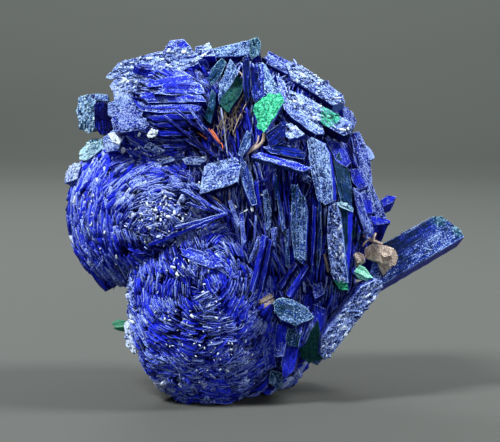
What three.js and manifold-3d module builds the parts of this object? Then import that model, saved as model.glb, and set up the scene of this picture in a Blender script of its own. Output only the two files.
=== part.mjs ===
// An azurite specimen: rosettes of thin tabular crystals and stout bladed crystals, grown together
// into one rounded cluster that rests on the flat scar where it broke from the rock.
// Two malachite crystals and a lump and a crumb of pale host clay sit in pockets of the cluster.
// Millimetres, +Z up. The origin is the middle of the flat scar, and +X runs along the long blade.

import * as THREE from "three";
import { mergeVertices } from "three/addons/utils/BufferGeometryUtils.js";
import Module from "manifold-3d";

const wasm = await Module();
wasm.setup();

// Driving dimensions, in millimetres and degrees. The crystals are laid out in the specimen's
// face, a plane with u to the right, v up and w out towards whoever faces it.
const LEAN = 5; // how far the face leans back from upright
const POCKET_GAP = 0.3; // clearance round a piece that sits in a pocket
const SMALLEST_STEP = 0.15; // ledges lower than this are smoothed away
const LOBE_DETAIL = 1; // how often a lobe's twenty faces are divided
const LOBE_ROUGHNESS = 0.06; // share of its radius by which a lobe's corners wander
const LUMP_ROUGHNESS = 0.12;
const STOUT = 2.9; // a plate thicker than this has bevelled rims
const BEVEL_SHARE = 0.22; // bevel to thickness
const PETAL_RIM = 0.66; // a petal's outer edge to its root
const PETAL_PROUD = 0.75; // how far petals stand out of their lobe
const PLATE_APEX = 0.2; // how far a plate's end corners sit off its middle line, to its width
const PLATE_POINT = 0.48; // length of a plate's pointed ends, to its width
const STEEPEST_PITCH = 40; // a blade follows the slope of the lobes up to this
const SLOPE_STEP = 1.5; // the slope is taken over this distance each way

const DEGREE = Math.PI / 180;

// The rounded growths that the crystals stand on: middle and half sizes, in the face's u, v and w.
const LOBES = {
  body: { at: [3.2, 27.6, -0.5], half: [16.4, 20.2, 14.5] },
  crown: { at: [3.6, 40.6, -1.5], half: [12.4, 9.2, 10.5] },
  lower_rosette: { at: [-3.6, 14.6, 5.5], half: [11.2, 16.0, 11.0] },
  middle_rosette: { at: [-9.4, 26.0, 6.0], half: [8.6, 8.8, 8.6] },
  left_lobe: { at: [-17.0, 26.8, 0.5], half: [6.9, 10.0, 9.0] },
  upper_left_lobe: { at: [-9.0, 40.6, 2.5], half: [8.2, 8.6, 9.0] },
  lower_right_lobe: { at: [7.4, 14.4, 2.0], half: [7.0, 9.8, 9.6] },
  right_shoulder: { at: [12.5, 17.5, 0.5], half: [5.4, 6.4, 8.0] },
  foot: { at: [1.0, 9.0, -0.5], half: [7.6, 11.4, 7.6] },
  back_foot: { at: [2.6, 12.6, -6.0], half: [10.4, 14.4, 10.6] },
  back_lobe: { at: [-6.5, 28.0, -8.0], half: [11.5, 14.0, 10.0] },
  back_right_lobe: { at: [9.5, 30.0, -8.5], half: [9.5, 12.0, 9.5] },
};

// Rosettes: thin plates on edge in rings round a pole, as the petals of a rose.
// from and to are the first and last ring's angle from the pole.
const ROSETTES = [
  { lobe: "lower_rosette", pole: [-0.02, 0.06, 1.0], from: 10, to: 112, rings: 8, spacing: 6.1, twist: 12, plate: [6.4, 3.4, 0.85] },
  { lobe: "middle_rosette", pole: [-0.1, -0.05, 1.0], from: 12, to: 95, rings: 5, spacing: 5.4, twist: -14, plate: [5.6, 3.2, 0.8] },
  { lobe: "left_lobe", pole: [0.9, 0.1, 0.5], from: 48, to: 140, rings: 5, spacing: 6.9, twist: 8, plate: [6.8, 3.2, 0.9] },
  { lobe: "back_lobe", pole: [-0.5, 0.1, -1.0], from: 10, to: 62, rings: 4, spacing: 8.2, twist: 16, plate: [8.0, 3.8, 1.1] },
];

// Crystals of the face that can be told apart. at is u and v, with w as a third number where the
// crystal stands clear of the lobes, and lift is its height over the lobes otherwise. turn is the
// long axis's angle in the face, its rise out of it, and the roll about it. size is length, width
// and thickness.
const BLADES = [
  { what: "left edge blade", at: [-21.6, 41.4, 3.5], turn: [96, 6, -14], size: [6.0, 3.2, 2.2], point: 0.3 },
  { what: "left edge stalk", at: [-18.0, 42.6, 3.0], turn: [14, 0, -50], size: [9.0, 2.4, 1.9] },
  { what: "pale left slab", at: [-20.4, 36.6, 4.5], turn: [42, 0, -48], size: [5.4, 3.0, 1.0] },
  { what: "grey left slab", at: [-23.1, 32.6, 2.5], turn: [62, 0, -40], size: [3.8, 2.8, 1.0] },
  { what: "top left ridge slab", at: [-11.4, 49.0, 1.5], turn: [16, 0, -62], size: [12.6, 4.6, 1.6] },
  { what: "top left front slab", at: [-9.6, 47.6, 5.0], turn: [14, 4, -46], size: [11.0, 4.6, 1.5] },
  { what: "top tip", at: [-8.1, 51.4, 0.0], turn: [72, 0, 32], size: [5.6, 3.4, 1.8] },
  { what: "top block", at: [-3.9, 50.0, 3.0], turn: [6, 0, -52], size: [4.2, 3.6, 2.6] },
  { what: "top ridge slab", at: [0.6, 51.6, 0.5], turn: [9, 0, -58], size: [8.6, 4.2, 1.6] },
  { what: "top right slab", at: [7.0, 49.4, -0.5], turn: [-40, 0, -52], size: [9.2, 3.6, 1.5] },
  { what: "fan blade 1", at: [-10.0, 45.9], lift: 0.7, turn: [10, 8, -64], size: [11.0, 4.2, 1.0] },
  { what: "fan blade 2", at: [-9.4, 44.4], lift: 0.9, turn: [9, 8, -66], size: [11.0, 4.2, 1.0] },
  { what: "fan blade 3", at: [-9.0, 42.9], lift: 1.0, turn: [5, 8, -68], size: [10.5, 4.0, 1.0] },
  { what: "fan blade 4", at: [-8.8, 41.5], lift: 1.0, turn: [1, 8, -70], size: [10.5, 4.0, 1.0] },
  { what: "fan blade 5", at: [-8.4, 40.1], lift: 1.0, turn: [-6, 8, -72], size: [10.0, 4.0, 1.0] },
  { what: "fan blade 6", at: [-7.8, 38.7], lift: 0.9, turn: [-14, 8, -74], size: [10.0, 3.8, 0.9] },
  { what: "fan blade 7", at: [-7.2, 37.3], lift: 0.9, turn: [-22, 6, -76], size: [9.5, 3.6, 0.9] },
  { what: "fan blade 8", at: [-11.5, 35.6], lift: 0.7, turn: [-20, 4, -60], size: [9.0, 3.4, 0.8] },
  { what: "upper teal blade", at: [-2.2, 47.6], lift: 2.6, turn: [62, 6, -18], size: [5.0, 2.0, 0.9] },
  { what: "middle teal blade", at: [0.1, 45.2], lift: 2.2, turn: [60, 10, 34], size: [8.4, 2.8, 2.0] },
  { what: "lower teal blade", at: [-3.1, 42.0], lift: 1.8, turn: [76, 4, 20], size: [5.8, 1.5, 1.0] },
  { what: "dark upright blade", at: [2.6, 43.0], lift: 0.6, turn: [82, 0, 58], size: [9.0, 2.4, 0.9] },
  { what: "pale upright blade", at: [1.4, 37.0], lift: 1.4, turn: [62, 0, -22], size: [5.0, 2.2, 0.9] },
  { what: "green ended crystal", at: [5.4, 43.4], lift: 2.0, turn: [-84, 16, 12], size: [11.0, 4.4, 3.2] },
  { what: "leaning frosted blade", at: [8.0, 45.2], lift: 1.6, turn: [-58, 4, -24], size: [8.0, 2.0, 1.6] },
  { what: "upper right blade 1", at: [10.2, 41.6], lift: 1.8, turn: [-42, 6, -30], size: [9.6, 3.0, 2.0] },
  { what: "upper right blade 2", at: [13.4, 41.4], lift: 1.8, turn: [-40, 4, -32], size: [12.0, 3.6, 2.2] },
  { what: "upper right blade 3", at: [13.2, 44.0, 4.5], turn: [-39, 0, -40], size: [13.0, 3.6, 2.0] },
  { what: "upper right blade 4", at: [17.6, 39.6, 3.0], turn: [-44, -6, -30], size: [7.0, 3.2, 2.2] },
  { what: "small grey face", at: [9.2, 38.3], lift: 1.2, turn: [-28, 0, -26], size: [3.6, 2.6, 1.2] },
  { what: "corner plate", at: [-1.8, 32.2, 15.6], turn: [17, 0, -16], size: [5.5, 3.9, 0.9], apex: -0.3, point: 0.16 },
  { what: "plate's thin neighbour", at: [2.5, 31.2], lift: 1.4, turn: [-66, 0, 24], size: [6.8, 1.7, 0.9] },
  { what: "crossing lath", at: [6.8, 34.2], lift: 1.4, turn: [-17, 0, -30], size: [8.2, 1.6, 1.2] },
  { what: "upper crossing lath", at: [8.6, 36.0], lift: 0.8, turn: [-14, 0, -40], size: [6.4, 2.0, 1.0] },
  { what: "tall speckled blade", at: [12.9, 32.9], lift: 2.0, turn: [-80, 2, 6], size: [10.2, 2.8, 1.4] },
  { what: "dull teal blade", at: [16.6, 31.6], lift: 1.2, turn: [-77, 0, 42], size: [8.6, 2.6, 1.2] },
  { what: "right edge blade", at: [19.6, 34.6, 3.0], turn: [-69, 0, 20], size: [9.8, 2.8, 1.8] },
  { what: "lower right edge blade", at: [20.8, 29.4, 3.0], turn: [-78, 0, 14], size: [6.6, 2.4, 1.6] },
  { what: "violet lath", at: [18.6, 27.4, 5.0], turn: [-66, 0, 4], size: [7.2, 1.5, 1.2] },
  { what: "right tip", at: [22.6, 27.6, 0.5], turn: [44, 0, 24], size: [6.4, 2.6, 1.8] },
  { what: "right wedge", at: [21.4, 24.2, 2.0], turn: [-68, 0, 18], size: [5.4, 3.2, 2.0] },
  { what: "long frosted lath", at: [15.3, 22.2], lift: 2.6, turn: [-83, 2, -8], size: [13.2, 2.8, 1.6] },
  { what: "dark lath beside it", at: [16.9, 22.8], lift: 1.8, turn: [-86, 0, 46], size: [11.2, 2.0, 1.8] },
  { what: "nested lath 1", at: [12.6, 23.6], lift: 1.4, turn: [-91, 0, 10], size: [11.6, 2.0, 0.8] },
  { what: "nested lath 2", at: [11.2, 23.2], lift: 1.0, turn: [-92, 0, 12], size: [10.6, 2.0, 0.8] },
  { what: "grey green lath", at: [9.7, 25.4], lift: 1.7, turn: [-92, 0, -12], size: [11.0, 2.2, 1.1] },
  { what: "lower middle plate", at: [9.0, 12.3], lift: 2.0, turn: [-22, 0, -24], size: [5.4, 3.8, 1.1] },
  { what: "lower upright blade 1", at: [9.4, 8.2], lift: 1.4, turn: [-82, 0, 22], size: [7.0, 2.8, 1.4] },
  { what: "lower upright blade 2", at: [6.9, 7.4], lift: 1.0, turn: [-76, 0, 14], size: [7.6, 2.4, 1.2] },
  { what: "lower upright blade 3", at: [10.6, 7.6], lift: 1.0, turn: [-74, 0, -16], size: [6.2, 2.6, 1.4] },
  { what: "bottom block", at: [7.4, 2.8, 6.4], turn: [-60, 0, 12], size: [4.4, 2.8, 2.2] },
  { what: "slanting frosted blade", at: [16.8, 11.8, 8.6], turn: [51, 0, -14], size: [15.8, 3.3, 2.0], point: 0.3 },
  { what: "dark green stub", at: [12.6, 8.0, 6.4], turn: [54, 0, 24], size: [6.8, 3.6, 3.4] },
  { what: "shoulder blade", at: [18.2, 19.6, 4.0], turn: [-58, 0, -20], size: [8.0, 3.4, 2.4] },
  { what: "slanting lath 1", at: [9.3, 17.4], lift: 1.4, turn: [52, 0, -40], size: [5.4, 1.8, 1.0] },
  { what: "slanting lath 2", at: [6.9, 18.6], lift: 1.2, turn: [48, 0, -36], size: [5.0, 1.8, 1.0] },
  { what: "small violet block", at: [12.6, 15.9], lift: 1.2, turn: [24, 0, -30], size: [3.0, 2.2, 1.2] },
  { what: "rim lath", at: [3.7, 19.6], lift: 0.7, turn: [-102, 0, 60], size: [10.0, 2.2, 0.9] },
  { what: "dark shield", at: [6.2, 37.4], lift: 1.0, turn: [-72, 6, 18], size: [6.4, 3.6, 1.4] },
  { what: "dark blade under the green end", at: [7.2, 40.4], lift: 1.0, turn: [46, 0, -30], size: [5.6, 2.2, 1.2] },
  { what: "crown face blade", at: [3.6, 48.4, 5.0], turn: [-76, 0, -8], size: [6.4, 3.4, 1.6] },
  { what: "crown cross blade", at: [-2.4, 49.0, 3.4], turn: [-30, 0, -20], size: [6.0, 3.0, 1.4] },
  { what: "blade behind the crown", at: [-3.6, 47.4, -1.5], turn: [22, 0, -30], size: [8.0, 4.4, 1.6] },
  { what: "clay streaked lath", at: [1.0, 40.2], lift: 1.0, turn: [70, 0, 46], size: [7.4, 1.8, 0.9] },
  { what: "fan root blade", at: [-1.4, 36.6], lift: 0.8, turn: [-42, 0, 48], size: [6.4, 2.2, 0.9] },
  { what: "long right blade", at: [25.4, 19.6, 0.5], turn: [30, 0, -34], size: [20.0, 6.6, 3.0], apex: -0.16, point: 0.3 },
];

// Laths hanging side by side down the middle of the face, thin edge outwards, from left to right.
const CURTAIN = { laths: 12, left: -1.6, right: 8.9, top: 30.4, foot: 18.4, spread: 20, size: [11.4, 2.4, 0.8] };
const UPPER_CURTAIN = { laths: 4, left: -0.4, right: 4.6, top: 45.4, foot: 34.6, spread: -16, size: [8.4, 2.2, 0.9] };

// Blades that shingle the rest of the cluster: sides, crown, back and underside.
const SHINGLES = [
  { lobe: "body", count: 86, size: [8.4, 3.6, 1.3], clearOfFace: 0.3 },
  { lobe: "back_right_lobe", count: 46, size: [7.6, 3.2, 1.2], clearOfFace: -0.15 },
  { lobe: "back_foot", count: 38, size: [6.6, 3.2, 1.1], clearOfFace: -0.1 },
  { lobe: "lower_right_lobe", count: 26, size: [4.8, 2.4, 1.0], clearOfFace: 0.9 },
  { lobe: "upper_left_lobe", count: 30, size: [5.6, 2.8, 1.0], clearOfFace: 0.35 },
  { lobe: "crown", count: 36, size: [6.4, 3.0, 1.2], clearOfFace: -0.12 },
];

// The pieces that are not azurite, in pockets of the cluster.
const LUMP = { at: [22.0, 20.4, 5.2], half: [2.2, 1.95, 1.8] };
const CRUMB = { at: [18.7, 21.2, 7.2], half: [0.95, 0.8, 0.8] };
const RIGHT_MALACHITE = { at: [18.9, 18.0, 7.6], turn: [-34, 10, -20], size: [3.2, 1.9, 1.3] };
const LEFT_MALACHITE = { at: [-15.6, 10.2, 3.0], turn: [172, 0, -30], size: [4.2, 1.6, 1.1] };

// A repeatable number from 0 to 1 for item i and choice k.
function chance(i, k) {
  const wave = Math.sin(i * 12.9898 + k * 78.233) * 43758.5453;
  return wave - Math.floor(wave);
}

const either = (i, k) => 2 * chance(i, k) - 1;

// A closed manifold solid from a three.js geometry.
function solidOf(geometry) {
  const merged = mergeVertices(withoutShading(geometry), 1e-4);
  const mesh = new wasm.Mesh({
    numProp: 3,
    vertProperties: new Float32Array(merged.attributes.position.array),
    triVerts: new Uint32Array(merged.index.array),
  });
  return new wasm.Manifold(mesh);
}

// A three.js geometry from a manifold solid.
function geometryOf(solid) {
  const mesh = solid.getMesh();
  const geometry = new THREE.BufferGeometry();
  geometry.setAttribute("position", new THREE.BufferAttribute(mesh.vertProperties, 3));
  geometry.setIndex(new THREE.BufferAttribute(mesh.triVerts, 1));
  return geometry;
}

// A tabular crystal: a six-sided plate with its length on x, width on y and thickness on z.
// apex moves the two end corners across the width, point is how long the ends are to the width,
// and a stout plate has bevelled rims.
function plateGeometry([length, width, thickness], apex = PLATE_APEX, point = PLATE_POINT) {
  const taper = Math.min(point * width, 0.32 * length);
  const bevel = thickness > STOUT ? BEVEL_SHARE * thickness : 0;
  const halfLength = length / 2;
  const halfWidth = width / 2;
  const outline = new THREE.Shape([
    new THREE.Vector2(-halfLength, -apex * width),
    new THREE.Vector2(-halfLength + taper, -halfWidth),
    new THREE.Vector2(halfLength - taper, -halfWidth),
    new THREE.Vector2(halfLength, apex * width),
    new THREE.Vector2(halfLength - taper * 0.8, halfWidth),
    new THREE.Vector2(-halfLength + taper * 0.8, halfWidth),
  ]);
  const plate = new THREE.ExtrudeGeometry(outline, {
    depth: thickness - 2 * bevel,
    bevelEnabled: bevel > 0,
    bevelThickness: bevel,
    bevelSize: bevel,
    bevelOffset: -bevel,
    bevelSegments: 1,
  });
  return plate.translate(0, 0, bevel - thickness / 2);
}

// A thin plate of a rosette: a slab whose outer edge is shorter than its root.
function petalGeometry([length, width, thickness]) {
  const rim = length * PETAL_RIM;
  const outline = new THREE.Shape([
    new THREE.Vector2(-length / 2, -width / 2),
    new THREE.Vector2(length / 2, -width / 2),
    new THREE.Vector2(rim / 2, width / 2),
    new THREE.Vector2(-rim / 2, width / 2),
  ]);
  const petal = new THREE.ExtrudeGeometry(outline, { depth: thickness, bevelEnabled: false });
  return petal.translate(0, 0, -thickness / 2);
}

// A rough rounded lump: an icosphere with its corners moved in and out.
function lumpGeometry(half, seed, roughness) {
  const merged = mergeVertices(withoutShading(new THREE.IcosahedronGeometry(1, LOBE_DETAIL)), 1e-4);
  const position = merged.attributes.position;
  for (let i = 0; i < position.count; i++) {
    const reach = 1 + roughness * either(i, seed);
    position.setXYZ(
      i,
      position.getX(i) * half[0] * reach,
      position.getY(i) * half[1] * reach,
      position.getZ(i) * half[2] * reach,
    );
  }
  return merged;
}

function withoutShading(geometry) {
  geometry.deleteAttribute("normal");
  geometry.deleteAttribute("uv");
  return geometry;
}

// How far out of the face the lobes reach at u, v.
function skin(u, v) {
  let reach = 0;
  for (const { at, half } of Object.values(LOBES)) {
    const inside = 1 - ((u - at[0]) / half[0]) ** 2 - ((v - at[1]) / half[1]) ** 2;
    if (inside > 0) reach = Math.max(reach, at[2] + half[2] * Math.sqrt(inside));
  }
  return reach;
}

// The matrix of a crystal that is placed in the face.
function placed({ at, lift = 0, turn }) {
  const [heading, rise, roll] = turn;
  const standsClear = at.length === 3;
  let pitch = rise;
  if (!standsClear) {
    const du = Math.cos(heading * DEGREE) * SLOPE_STEP;
    const dv = Math.sin(heading * DEGREE) * SLOPE_STEP;
    const climb = skin(at[0] + du, at[1] + dv) - skin(at[0] - du, at[1] - dv);
    const slope = Math.atan2(climb, 2 * SLOPE_STEP) / DEGREE;
    pitch += Math.max(-STEEPEST_PITCH, Math.min(STEEPEST_PITCH, slope));
  }
  const depth = standsClear ? at[2] : skin(at[0], at[1]) + lift;
  const turned = new THREE.Euler(roll * DEGREE, -pitch * DEGREE, heading * DEGREE, "ZYX");
  const matrix = new THREE.Matrix4().makeRotationFromEuler(turned);
  return matrix.setPosition(at[0], at[1], depth);
}

// The matrix of a crystal with its long axis and its width along two given directions.
function aimed(place, along, across) {
  const x = along.clone().normalize();
  const z = new THREE.Vector3().crossVectors(x, across).normalize();
  const y = new THREE.Vector3().crossVectors(z, x);
  return new THREE.Matrix4().makeBasis(x, y, z).setPosition(place);
}

// The point on a lobe in a direction from its middle, and the way the lobe faces there.
function onLobe({ at, half }, direction) {
  const place = new THREE.Vector3(...at).add(
    new THREE.Vector3(direction.x * half[0], direction.y * half[1], direction.z * half[2]),
  );
  const out = new THREE.Vector3(direction.x / half[0], direction.y / half[1], direction.z / half[2]);
  return { place, out: out.normalize() };
}

// Whether a point lies well inside some lobe, where a crystal would be buried.
function buried(place, own) {
  return Object.entries(LOBES).some(([name, { at, half }]) => {
    if (name === own) return false;
    const share = (place.x - at[0]) ** 2 / half[0] ** 2 + (place.y - at[1]) ** 2 / half[1] ** 2;
    return share + (place.z - at[2]) ** 2 / half[2] ** 2 < 0.9;
  });
}

function rosettePlates({ lobe, pole, from, to, rings, spacing, twist, plate }, seed) {
  const form = LOBES[lobe];
  const axis = new THREE.Vector3(...pole).normalize();
  const side = new THREE.Vector3(0, 1, 0).cross(axis).normalize();
  const lift = new THREE.Vector3().crossVectors(axis, side);
  const meanHalf = (form.half[0] + form.half[1] + form.half[2]) / 3;
  const plates = [];
  for (let ring = 0; ring < rings; ring++) {
    const polar = (from + ((to - from) * ring) / (rings - 1)) * DEGREE;
    const around = Math.max(3, Math.round((2 * Math.PI * Math.sin(polar) * meanHalf) / spacing));
    for (let step = 0; step < around; step++) {
      const id = seed * 1000 + ring * 40 + step;
      const turn = ((step + 0.5 * (ring % 2) + 0.3 * either(id, 1)) / around) * 2 * Math.PI;
      const outward = side.clone().multiplyScalar(Math.cos(turn)).addScaledVector(lift, Math.sin(turn));
      const direction = axis.clone().multiplyScalar(Math.cos(polar)).addScaledVector(outward, Math.sin(polar));
      const { place, out } = onLobe(form, direction);
      if (buried(place, lobe)) continue;
      const ringwise = new THREE.Vector3().crossVectors(axis, outward);
      const along = ringwise.applyAxisAngle(out, (twist + 14 * either(id, 2)) * DEGREE);
      const across = out.clone().applyAxisAngle(along, 12 * either(id, 3) * DEGREE);
      const size = plate.map((x, k) => x * (1 + 0.22 * either(id, 4 + k)));
      place.addScaledVector(out, PETAL_PROUD - size[1] / 2 + 0.35 * either(id, 7));
      plates.push(solidOf(petalGeometry(size)).transform(aimed(place, along, across).elements));
    }
  }
  return plates;
}

function curtainLaths({ laths, left, right, top, foot, spread, size }) {
  const made = [];
  for (let i = 0; i < laths; i++) {
    const share = i / (laths - 1);
    const middle = (top + foot) / 2 + 1.2 * either(i, 11);
    const lath = {
      at: [left + (right - left) * share, middle],
      lift: 0.5 + 0.5 * chance(i, 12),
      turn: [-90 + spread * (1 - share) + 4 * either(i, 13), 0, 66 + 12 * either(i, 14)],
    };
    const form = [size[0] * (0.9 + 0.3 * chance(i, 15)), size[1], size[2]];
    made.push(solidOf(plateGeometry(form)).transform(placed(lath).elements));
  }
  return made;
}

function shingleBlades({ lobe, count, size, clearOfFace }, seed) {
  const form = LOBES[lobe];
  const golden = Math.PI * (3 - Math.sqrt(5));
  const blades = [];
  for (let i = 0; i < count; i++) {
    const id = seed * 1000 + i;
    const height = 1 - (2 * (i + 0.5)) / count;
    const ring = Math.sqrt(1 - height * height);
    const direction = new THREE.Vector3(ring * Math.cos(golden * i), height, ring * Math.sin(golden * i));
    const { place, out } = onLobe(form, direction);
    if (out.z > clearOfFace || buried(place, lobe)) continue;
    const down = new THREE.Vector3(0, -1, 0).addScaledVector(out, out.y).normalize();
    const flow = down.applyAxisAngle(out, 38 * either(id, 1) * DEGREE);
    const along = flow.addScaledVector(out, 0.12 + 0.5 * chance(id, 2)).normalize();
    const across = new THREE.Vector3().crossVectors(out, along);
    across.applyAxisAngle(along, 42 * either(id, 3) * DEGREE);
    const slab = size.map((x, k) => x * (1 + 0.28 * either(id, 4 + k)));
    place.addScaledVector(along, 0.12 * slab[0]);
    blades.push(solidOf(plateGeometry(slab)).transform(aimed(place, along, across).elements));
  }
  return blades;
}

function cores() {
  return Object.values(LOBES).map(({ at, half }, seed) =>
    solidOf(lumpGeometry(half, seed, LOBE_ROUGHNESS)).translate(at));
}

const bladeSolid = (blade) =>
  solidOf(plateGeometry(blade.size, blade.apex, blade.point)).transform(placed(blade).elements);

const roundSolid = ({ at, half }, grow, seed) =>
  solidOf(lumpGeometry(half.map((x) => x + grow), seed, LUMP_ROUGHNESS)).translate(at);

const grown = (piece, grow) => ({ ...piece, size: piece.size.map((x) => x + 2 * grow) });

// Everything is made in the face's frame and then leaned back into the part's own frame.
const lean = new THREE.Matrix4().makeRotationX((90 - LEAN) * DEGREE);
const rock = solidOf(new THREE.BoxGeometry(200, 200, 100)).translate([0, 0, -50]);
const stood = (solid) => solid.transform(lean.elements).subtract(rock);

const lump = roundSolid(LUMP, 0, 21);
const crumb = roundSolid(CRUMB, 0, 23);
const rightMalachite = bladeSolid(RIGHT_MALACHITE);
const leftMalachite = bladeSolid(LEFT_MALACHITE);

const azurite = wasm.Manifold.union([
  ...cores(),
  ...ROSETTES.flatMap(rosettePlates),
  ...SHINGLES.flatMap(shingleBlades),
  ...curtainLaths(CURTAIN),
  ...curtainLaths(UPPER_CURTAIN),
  ...BLADES.map(bladeSolid),
]);
const pockets = wasm.Manifold.union([
  roundSolid(LUMP, POCKET_GAP, 21),
  roundSolid(CRUMB, POCKET_GAP, 23),
  bladeSolid(grown(RIGHT_MALACHITE, POCKET_GAP)),
  bladeSolid(grown(LEFT_MALACHITE, POCKET_GAP)),
]);

function piece(name, solid, colour, roughness) {
  const material = new THREE.MeshStandardMaterial({ color: colour, roughness, metalness: 0, flatShading: true });
  const mesh = new THREE.Mesh(geometryOf(solid), material);
  mesh.name = name;
  return mesh;
}

// A pocket can leave a chip of crystal loose, so only the largest body is kept.
const largest = (solid) => solid.decompose().sort((a, b) => b.volume() - a.volume())[0];
const cluster = largest(stood(azurite.subtract(pockets)).simplify(SMALLEST_STEP));

const specimen = new THREE.Group();
specimen.add(piece("azurite_cluster", cluster, 0x14209a, 0.4));
specimen.add(piece("clay_lump", stood(lump), 0xa8968c, 0.9));
specimen.add(piece("clay_crumb", stood(crumb), 0xb3a093, 0.9));
specimen.add(piece("malachite_right", stood(rightMalachite), 0x6fd9b8, 0.5));
specimen.add(piece("malachite_left", stood(leftMalachite), 0x2f9a72, 0.5));
export default specimen;
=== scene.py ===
"""The looks of an azurite specimen: thin plates, stout blades, malachite and host clay.

Crystals are laid out in the specimen's face, in millimetres: u to the right, v up and w out
towards whoever faces it. The face leans back a little from upright.
"""

import itertools
import math
from collections import namedtuple

import bmesh
import bpy
import numpy as np
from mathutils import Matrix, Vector

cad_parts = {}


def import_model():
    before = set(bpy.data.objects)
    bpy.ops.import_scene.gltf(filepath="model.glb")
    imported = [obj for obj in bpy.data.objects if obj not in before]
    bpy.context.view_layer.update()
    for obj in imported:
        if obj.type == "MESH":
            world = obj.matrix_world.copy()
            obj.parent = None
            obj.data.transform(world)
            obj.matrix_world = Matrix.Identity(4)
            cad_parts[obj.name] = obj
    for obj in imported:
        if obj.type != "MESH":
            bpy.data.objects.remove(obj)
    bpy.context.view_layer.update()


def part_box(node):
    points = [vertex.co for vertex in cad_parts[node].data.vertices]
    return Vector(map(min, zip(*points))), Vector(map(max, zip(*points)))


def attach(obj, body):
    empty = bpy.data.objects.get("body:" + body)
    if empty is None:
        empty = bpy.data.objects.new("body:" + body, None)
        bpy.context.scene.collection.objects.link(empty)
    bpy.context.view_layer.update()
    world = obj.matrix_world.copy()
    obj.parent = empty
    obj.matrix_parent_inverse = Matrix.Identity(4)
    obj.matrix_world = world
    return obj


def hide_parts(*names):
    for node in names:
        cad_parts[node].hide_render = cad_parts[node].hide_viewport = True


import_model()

# The face and the photograph's scale.
MM = 0.001
LEAN = math.radians(5)
PIXEL_MM = 0.15
MIDDLE_PX = 232
FOOT_PX = 393
PHOTO_WIDTH_PX = 500
CAMERA_PX = (250, 221)
ROSETTE_MIDDLE_PX = (205, 285)
ROSETTE_HEART_PX = (206, 288)
WORN_CORNER_PX = (140, 352)
ALMOND_MIDDLE_PX = (165, 228)
ALMOND_HEART_PX = (170, 224)
ALMOND_POINT_PX = (228, 213)
LEFT_MIDDLE_PX = (160, 222)
FAN_FOOT_PX = (226, 152)
NET_PX = ((243, 92), (218, 128))
FACE = np.array([
    [1, 0, 0],
    [0, math.sin(LEAN), -math.cos(LEAN)],
    [0, math.cos(LEAN), math.sin(LEAN)],
])

# The rounded growths that the crystals stand on: middle and half sizes.
Lobe = namedtuple("Lobe", "at half")
LOBES = {
    "body": Lobe((3.2, 27.6, -0.5), (16.4, 20.2, 14.5)),
    "crown": Lobe((3.6, 40.6, -1.5), (12.4, 9.2, 10.5)),
    "lower_rosette": Lobe((-3.6, 14.6, 5.5), (11.2, 16.0, 11.0)),
    "middle_rosette": Lobe((-9.4, 26.0, 6.0), (8.6, 8.8, 8.6)),
    "left_lobe": Lobe((-17.0, 26.8, 0.5), (6.9, 10.0, 9.0)),
    "upper_left_lobe": Lobe((-9.0, 40.6, 2.5), (8.2, 8.6, 9.0)),
    "lower_right_lobe": Lobe((7.4, 14.4, 2.0), (7.0, 9.8, 9.6)),
    "right_shoulder": Lobe((12.5, 17.5, 0.5), (5.4, 6.4, 8.0)),
    "foot": Lobe((1.0, 9.0, -0.5), (7.6, 11.4, 7.6)),
    "back_foot": Lobe((2.6, 12.6, -6.0), (10.4, 14.4, 10.6)),
    "back_lobe": Lobe((-6.5, 28.0, -8.0), (11.5, 14.0, 10.0)),
    "back_right_lobe": Lobe((9.5, 30.0, -8.5), (9.5, 12.0, 9.5)),
}

# How a crystal's face looks: tone of its blue, frosting, teal and green.
Look = namedtuple("Look", "tone frost teal green")
LOOKS = {
    "snow": Look(0.6, 1.3, 0.1, 0.0),
    "white": Look(0.45, 0.56, 0.15, 0.0),
    "frosted": Look(0.45, 0.46, 0.15, 0.0),
    "lavender": Look(0.6, 0.46, 0.0, 0.0),
    "page": Look(0.75, 0.3, 0.0, 0.0),
    "steel": Look(0.4, 0.4, 0.45, 0.0),
    "slate": Look(0.3, 0.32, 0.3, 0.0),
    "grey": Look(0.15, 0.46, 0.3, 0.0),
    "dusty teal": Look(0.1, 0.32, 0.6, 0.05),
    "violet": Look(0.75, 0.32, 0.0, 0.0),
    "bright blue": Look(1.3, 0.06, 0.0, 0.0),
    "blue": Look(0.8, 0.06, 0.0, 0.0),
    "navy": Look(0.3, 0.0, 0.0, 0.0),
    "ink": Look(0.1, 0.0, 0.15, 0.0),
    "black": Look(-0.1, -0.2, 0.0, 0.0),
    "teal": Look(0.4, 0.18, 0.95, 0.05),
    "sea green": Look(0.3, 0.42, 0.95, 0.1),
    "dull teal": Look(0.1, 0.08, 0.7, 0.0),
    "bottle green": Look(0.0, 0.0, 1.0, 0.55),
    "green": Look(0.2, 0.38, 0.3, 1.0),
    "mint": Look(0.4, 0.58, 0.8, 0.2),
    "stone": Look(-0.3, 0.5, 0.1, 0.0),
    "lichen": Look(0.2, 0.54, 0.6, 0.15),
}

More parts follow.
